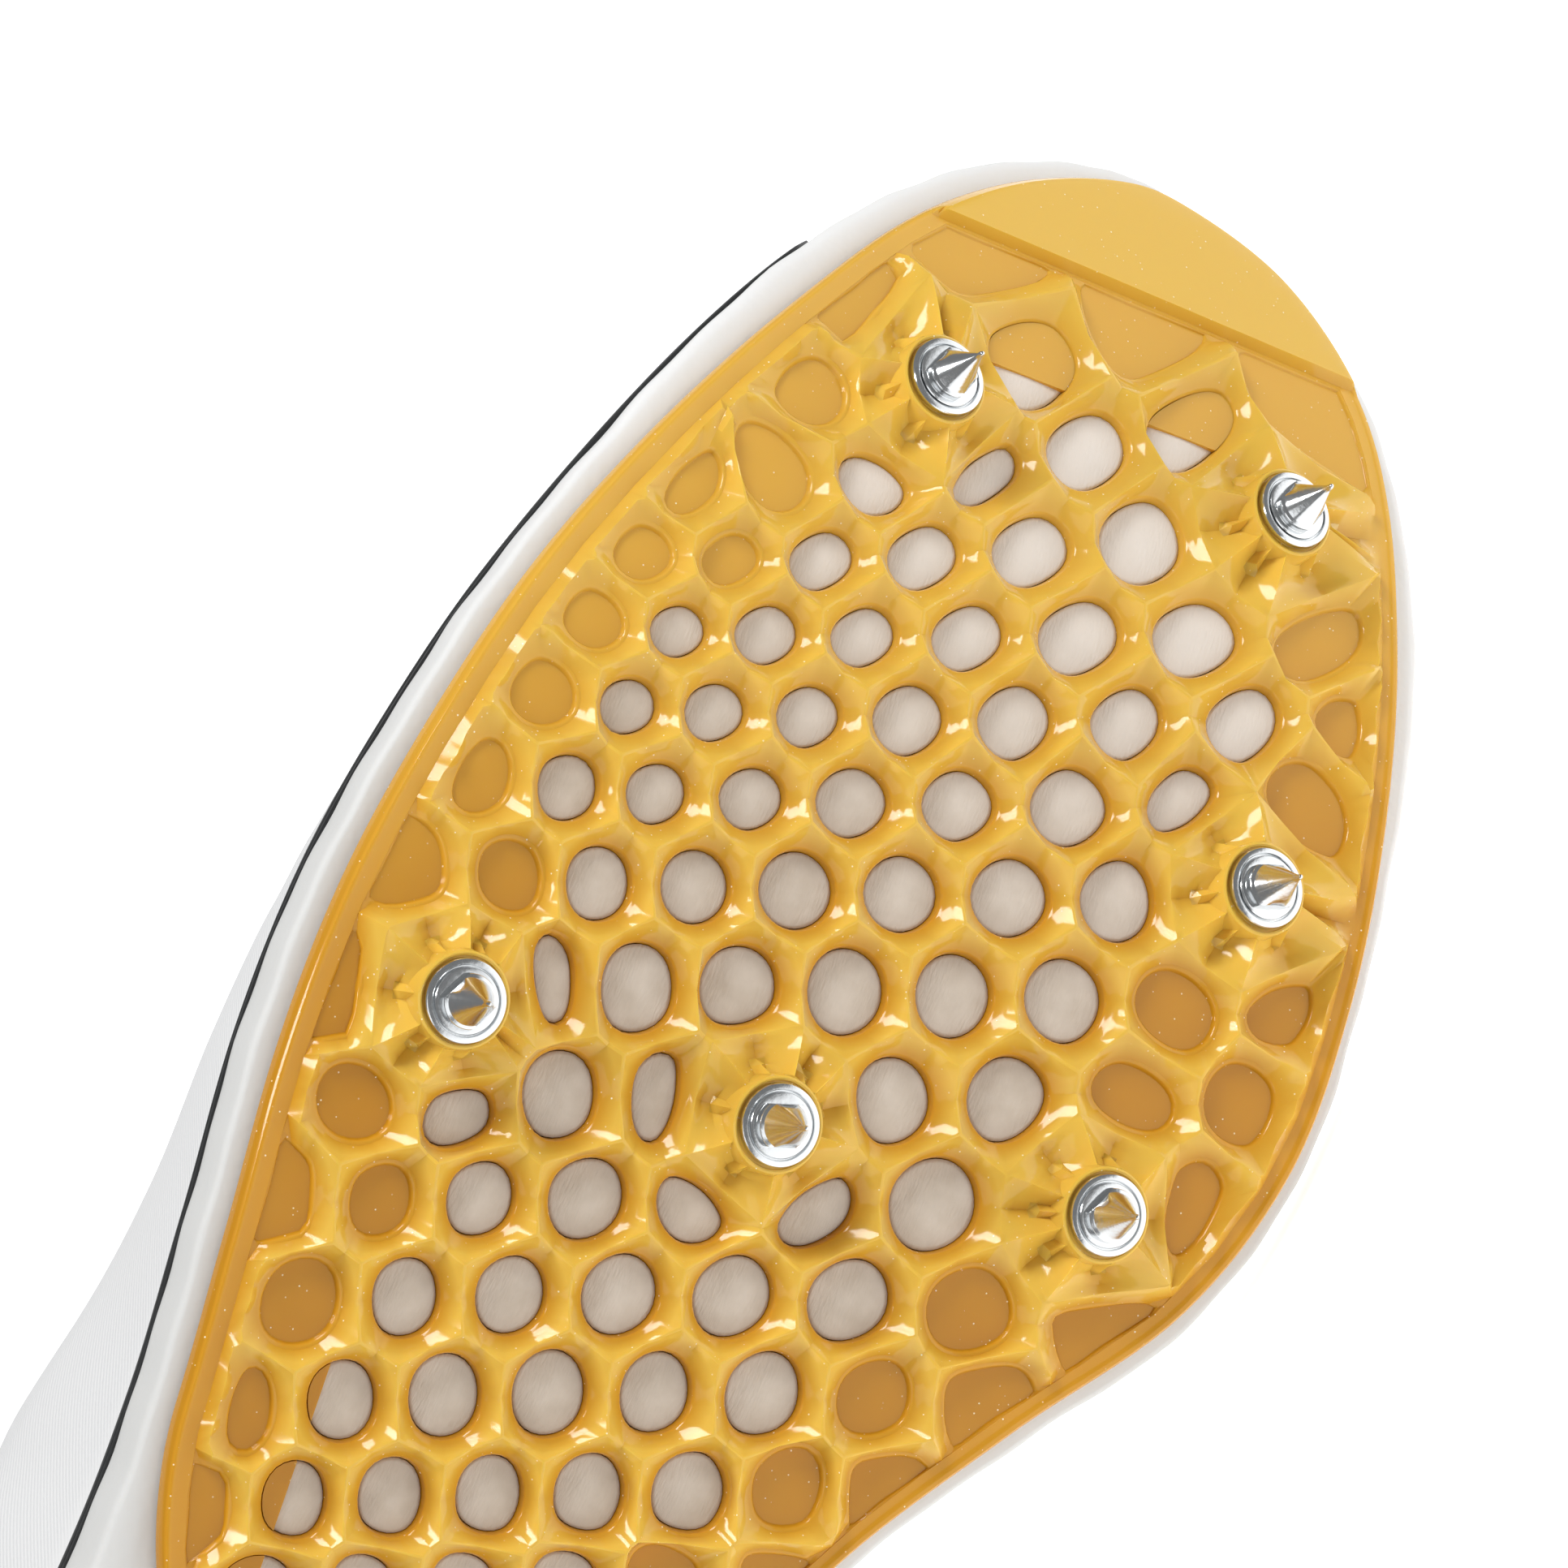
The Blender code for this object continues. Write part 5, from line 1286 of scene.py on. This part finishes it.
def insoleLooks():
    sides = soleSides(160, -insole["inset"])
    walk = np.linspace(0, 1, 34)
    ridge = insole["cup"] * np.abs(2 * walk - 1) ** 5
    low = stackHeight(sides[:, :, 0].mean(axis=0))[:, None] + insole["under"] + 0 * walk[None]
    high = low + insole["thickness"] + ridge[None]
    made = slabLooks("insoleLooks", (sides, sides), (low, high), 34,
                     clothMaterial("pale insole knit", "#C9CBCD", "#E2E3E4", 1.1, 0.4), sharp=60)
    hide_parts("insole")
    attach(made, "root")


insoleLooks()
print("insole done")

# Camera: looks at the plate's forefoot; the sole's own down direction is what it faces, tilted
camera = {
    "distance": 0.751,
    "target": (0.20866, -0.01435, 0.0136),  # upright
    "roll": 25.73,  # the sole's long axis from the picture's vertical
    "tipAlong": 8.26, "tipAcross": 20.76,  # lean of the sole's down direction in the picture
    "width": 0.14556,  # what the picture spans at the target
}


# Right, up and back of the camera in the row frame, from the lean and roll of the sole.
def cameraAxes():
    roll = math.radians(camera["roll"])
    u = np.array([math.sin(roll), math.cos(roll), 0.0])
    v = np.array([math.cos(roll), -math.sin(roll), 0.0])
    nu, nv = math.sin(math.radians(camera["tipAlong"])), math.sin(math.radians(camera["tipAcross"]))
    nc = math.sqrt(1 - nu * nu - nv * nv)
    down = nu * u + nv * v + np.array([0, 0, nc])
    alongShare = 1 / math.hypot(1, nu / nc)
    front = alongShare * u - np.array([0, 0, alongShare * nu / nc])
    up = -down
    inner = np.cross(up, front)
    matrix = np.array([front, inner, up])  # rows are the upright axes in the camera's axes
    origin = lay(np.zeros(3))
    return [lay(matrix[:, k]) - origin for k in range(3)]


# Long lens at the target's distance, as wide there as the picture; gives its axes.
def placeCamera():
    right, up, back = cameraAxes()
    data = bpy.data.cameras.new("camera")
    made = bpy.data.objects.new("camera", data)
    bpy.context.scene.collection.objects.link(made)
    place = lay(np.array(camera["target"])) + back * camera["distance"]
    turn = Matrix(np.array([right, up, back]).T.tolist()).to_4x4()
    made.matrix_world = Matrix.Translation(Vector(place)) @ turn
    data.lens = data.sensor_width * camera["distance"] / camera["width"]
    data.clip_start = 0.01
    data.clip_end = 50.0
    bpy.context.scene.camera = made
    return right, up, back


right, up, back = placeCamera()
target = lay(np.array(camera["target"]))

# Direction in the picture's axes (right, up, towards the camera), metres away, metres wide, watts
lights = {
    "key": ((-0.45, 1.0, 0.75), 1.1, 0.38, 7.4),
    "side": ((-1.0, 0.35, 0.6), 1.2, 0.28, 4.6),
    "fill": ((-0.4, -0.5, 1.4), 1.4, 0.9, 3.0),
}
studio = {"ambient": 0.22, "floorTone": "#FCFCFC", "floorGlow": 0.5, "floorHalf": 6.0}


# Square soft light that faces the camera's target from a direction in the picture's axes.
def addLight(name, way, distance, size, power):
    data = bpy.data.lights.new(name, "AREA")
    data.shape = "SQUARE"
    data.size = size
    data.energy = power
    made = bpy.data.objects.new(name, data)
    bpy.context.scene.collection.objects.link(made)
    toLight = right * way[0] + up * way[1] + back * way[2]
    toLight = toLight / np.linalg.norm(toLight)
    made.location = target + toLight * distance
    made.rotation_mode = "QUATERNION"
    made.rotation_quaternion = Vector(toLight).to_track_quat("Z", "Y")


for name, light in lights.items():
    addLight(name, *light)
bpy.context.scene.view_settings.view_transform = "Standard"  # white paper shows white

world = bpy.data.worlds.new("studio")
bpy.context.scene.world = world
world.use_nodes = True
world.node_tree.nodes["Background"].inputs["Color"].default_value = (1, 1, 1, 1)
world.node_tree.nodes["Background"].inputs["Strength"].default_value = studio["ambient"]


# Pale paper floor, a plane far wider than the picture.
def floorLooks():
    material, tree, shader = newMaterial("pale floor")
    setInputs(tree, shader, {"Base Color": colour(studio["floorTone"]), "Roughness": 0.9,
                             "Specular IOR Level": 0.2, "Emission Color": (1, 1, 1, 1),
                             "Emission Strength": studio["floorGlow"]})
    corners = np.array([(-1, -1, 0), (1, -1, 0), (1, 1, 0), (-1, 1, 0)]) * studio["floorHalf"]
    mesh = bpy.data.meshes.new("floor")
    mesh.from_pydata(corners.tolist(), [], [(0, 1, 2, 3)])
    mesh.materials.append(material)
    made = bpy.data.objects.new("floor", mesh)
    bpy.context.scene.collection.objects.link(made)


floorLooks()
print("stage done")
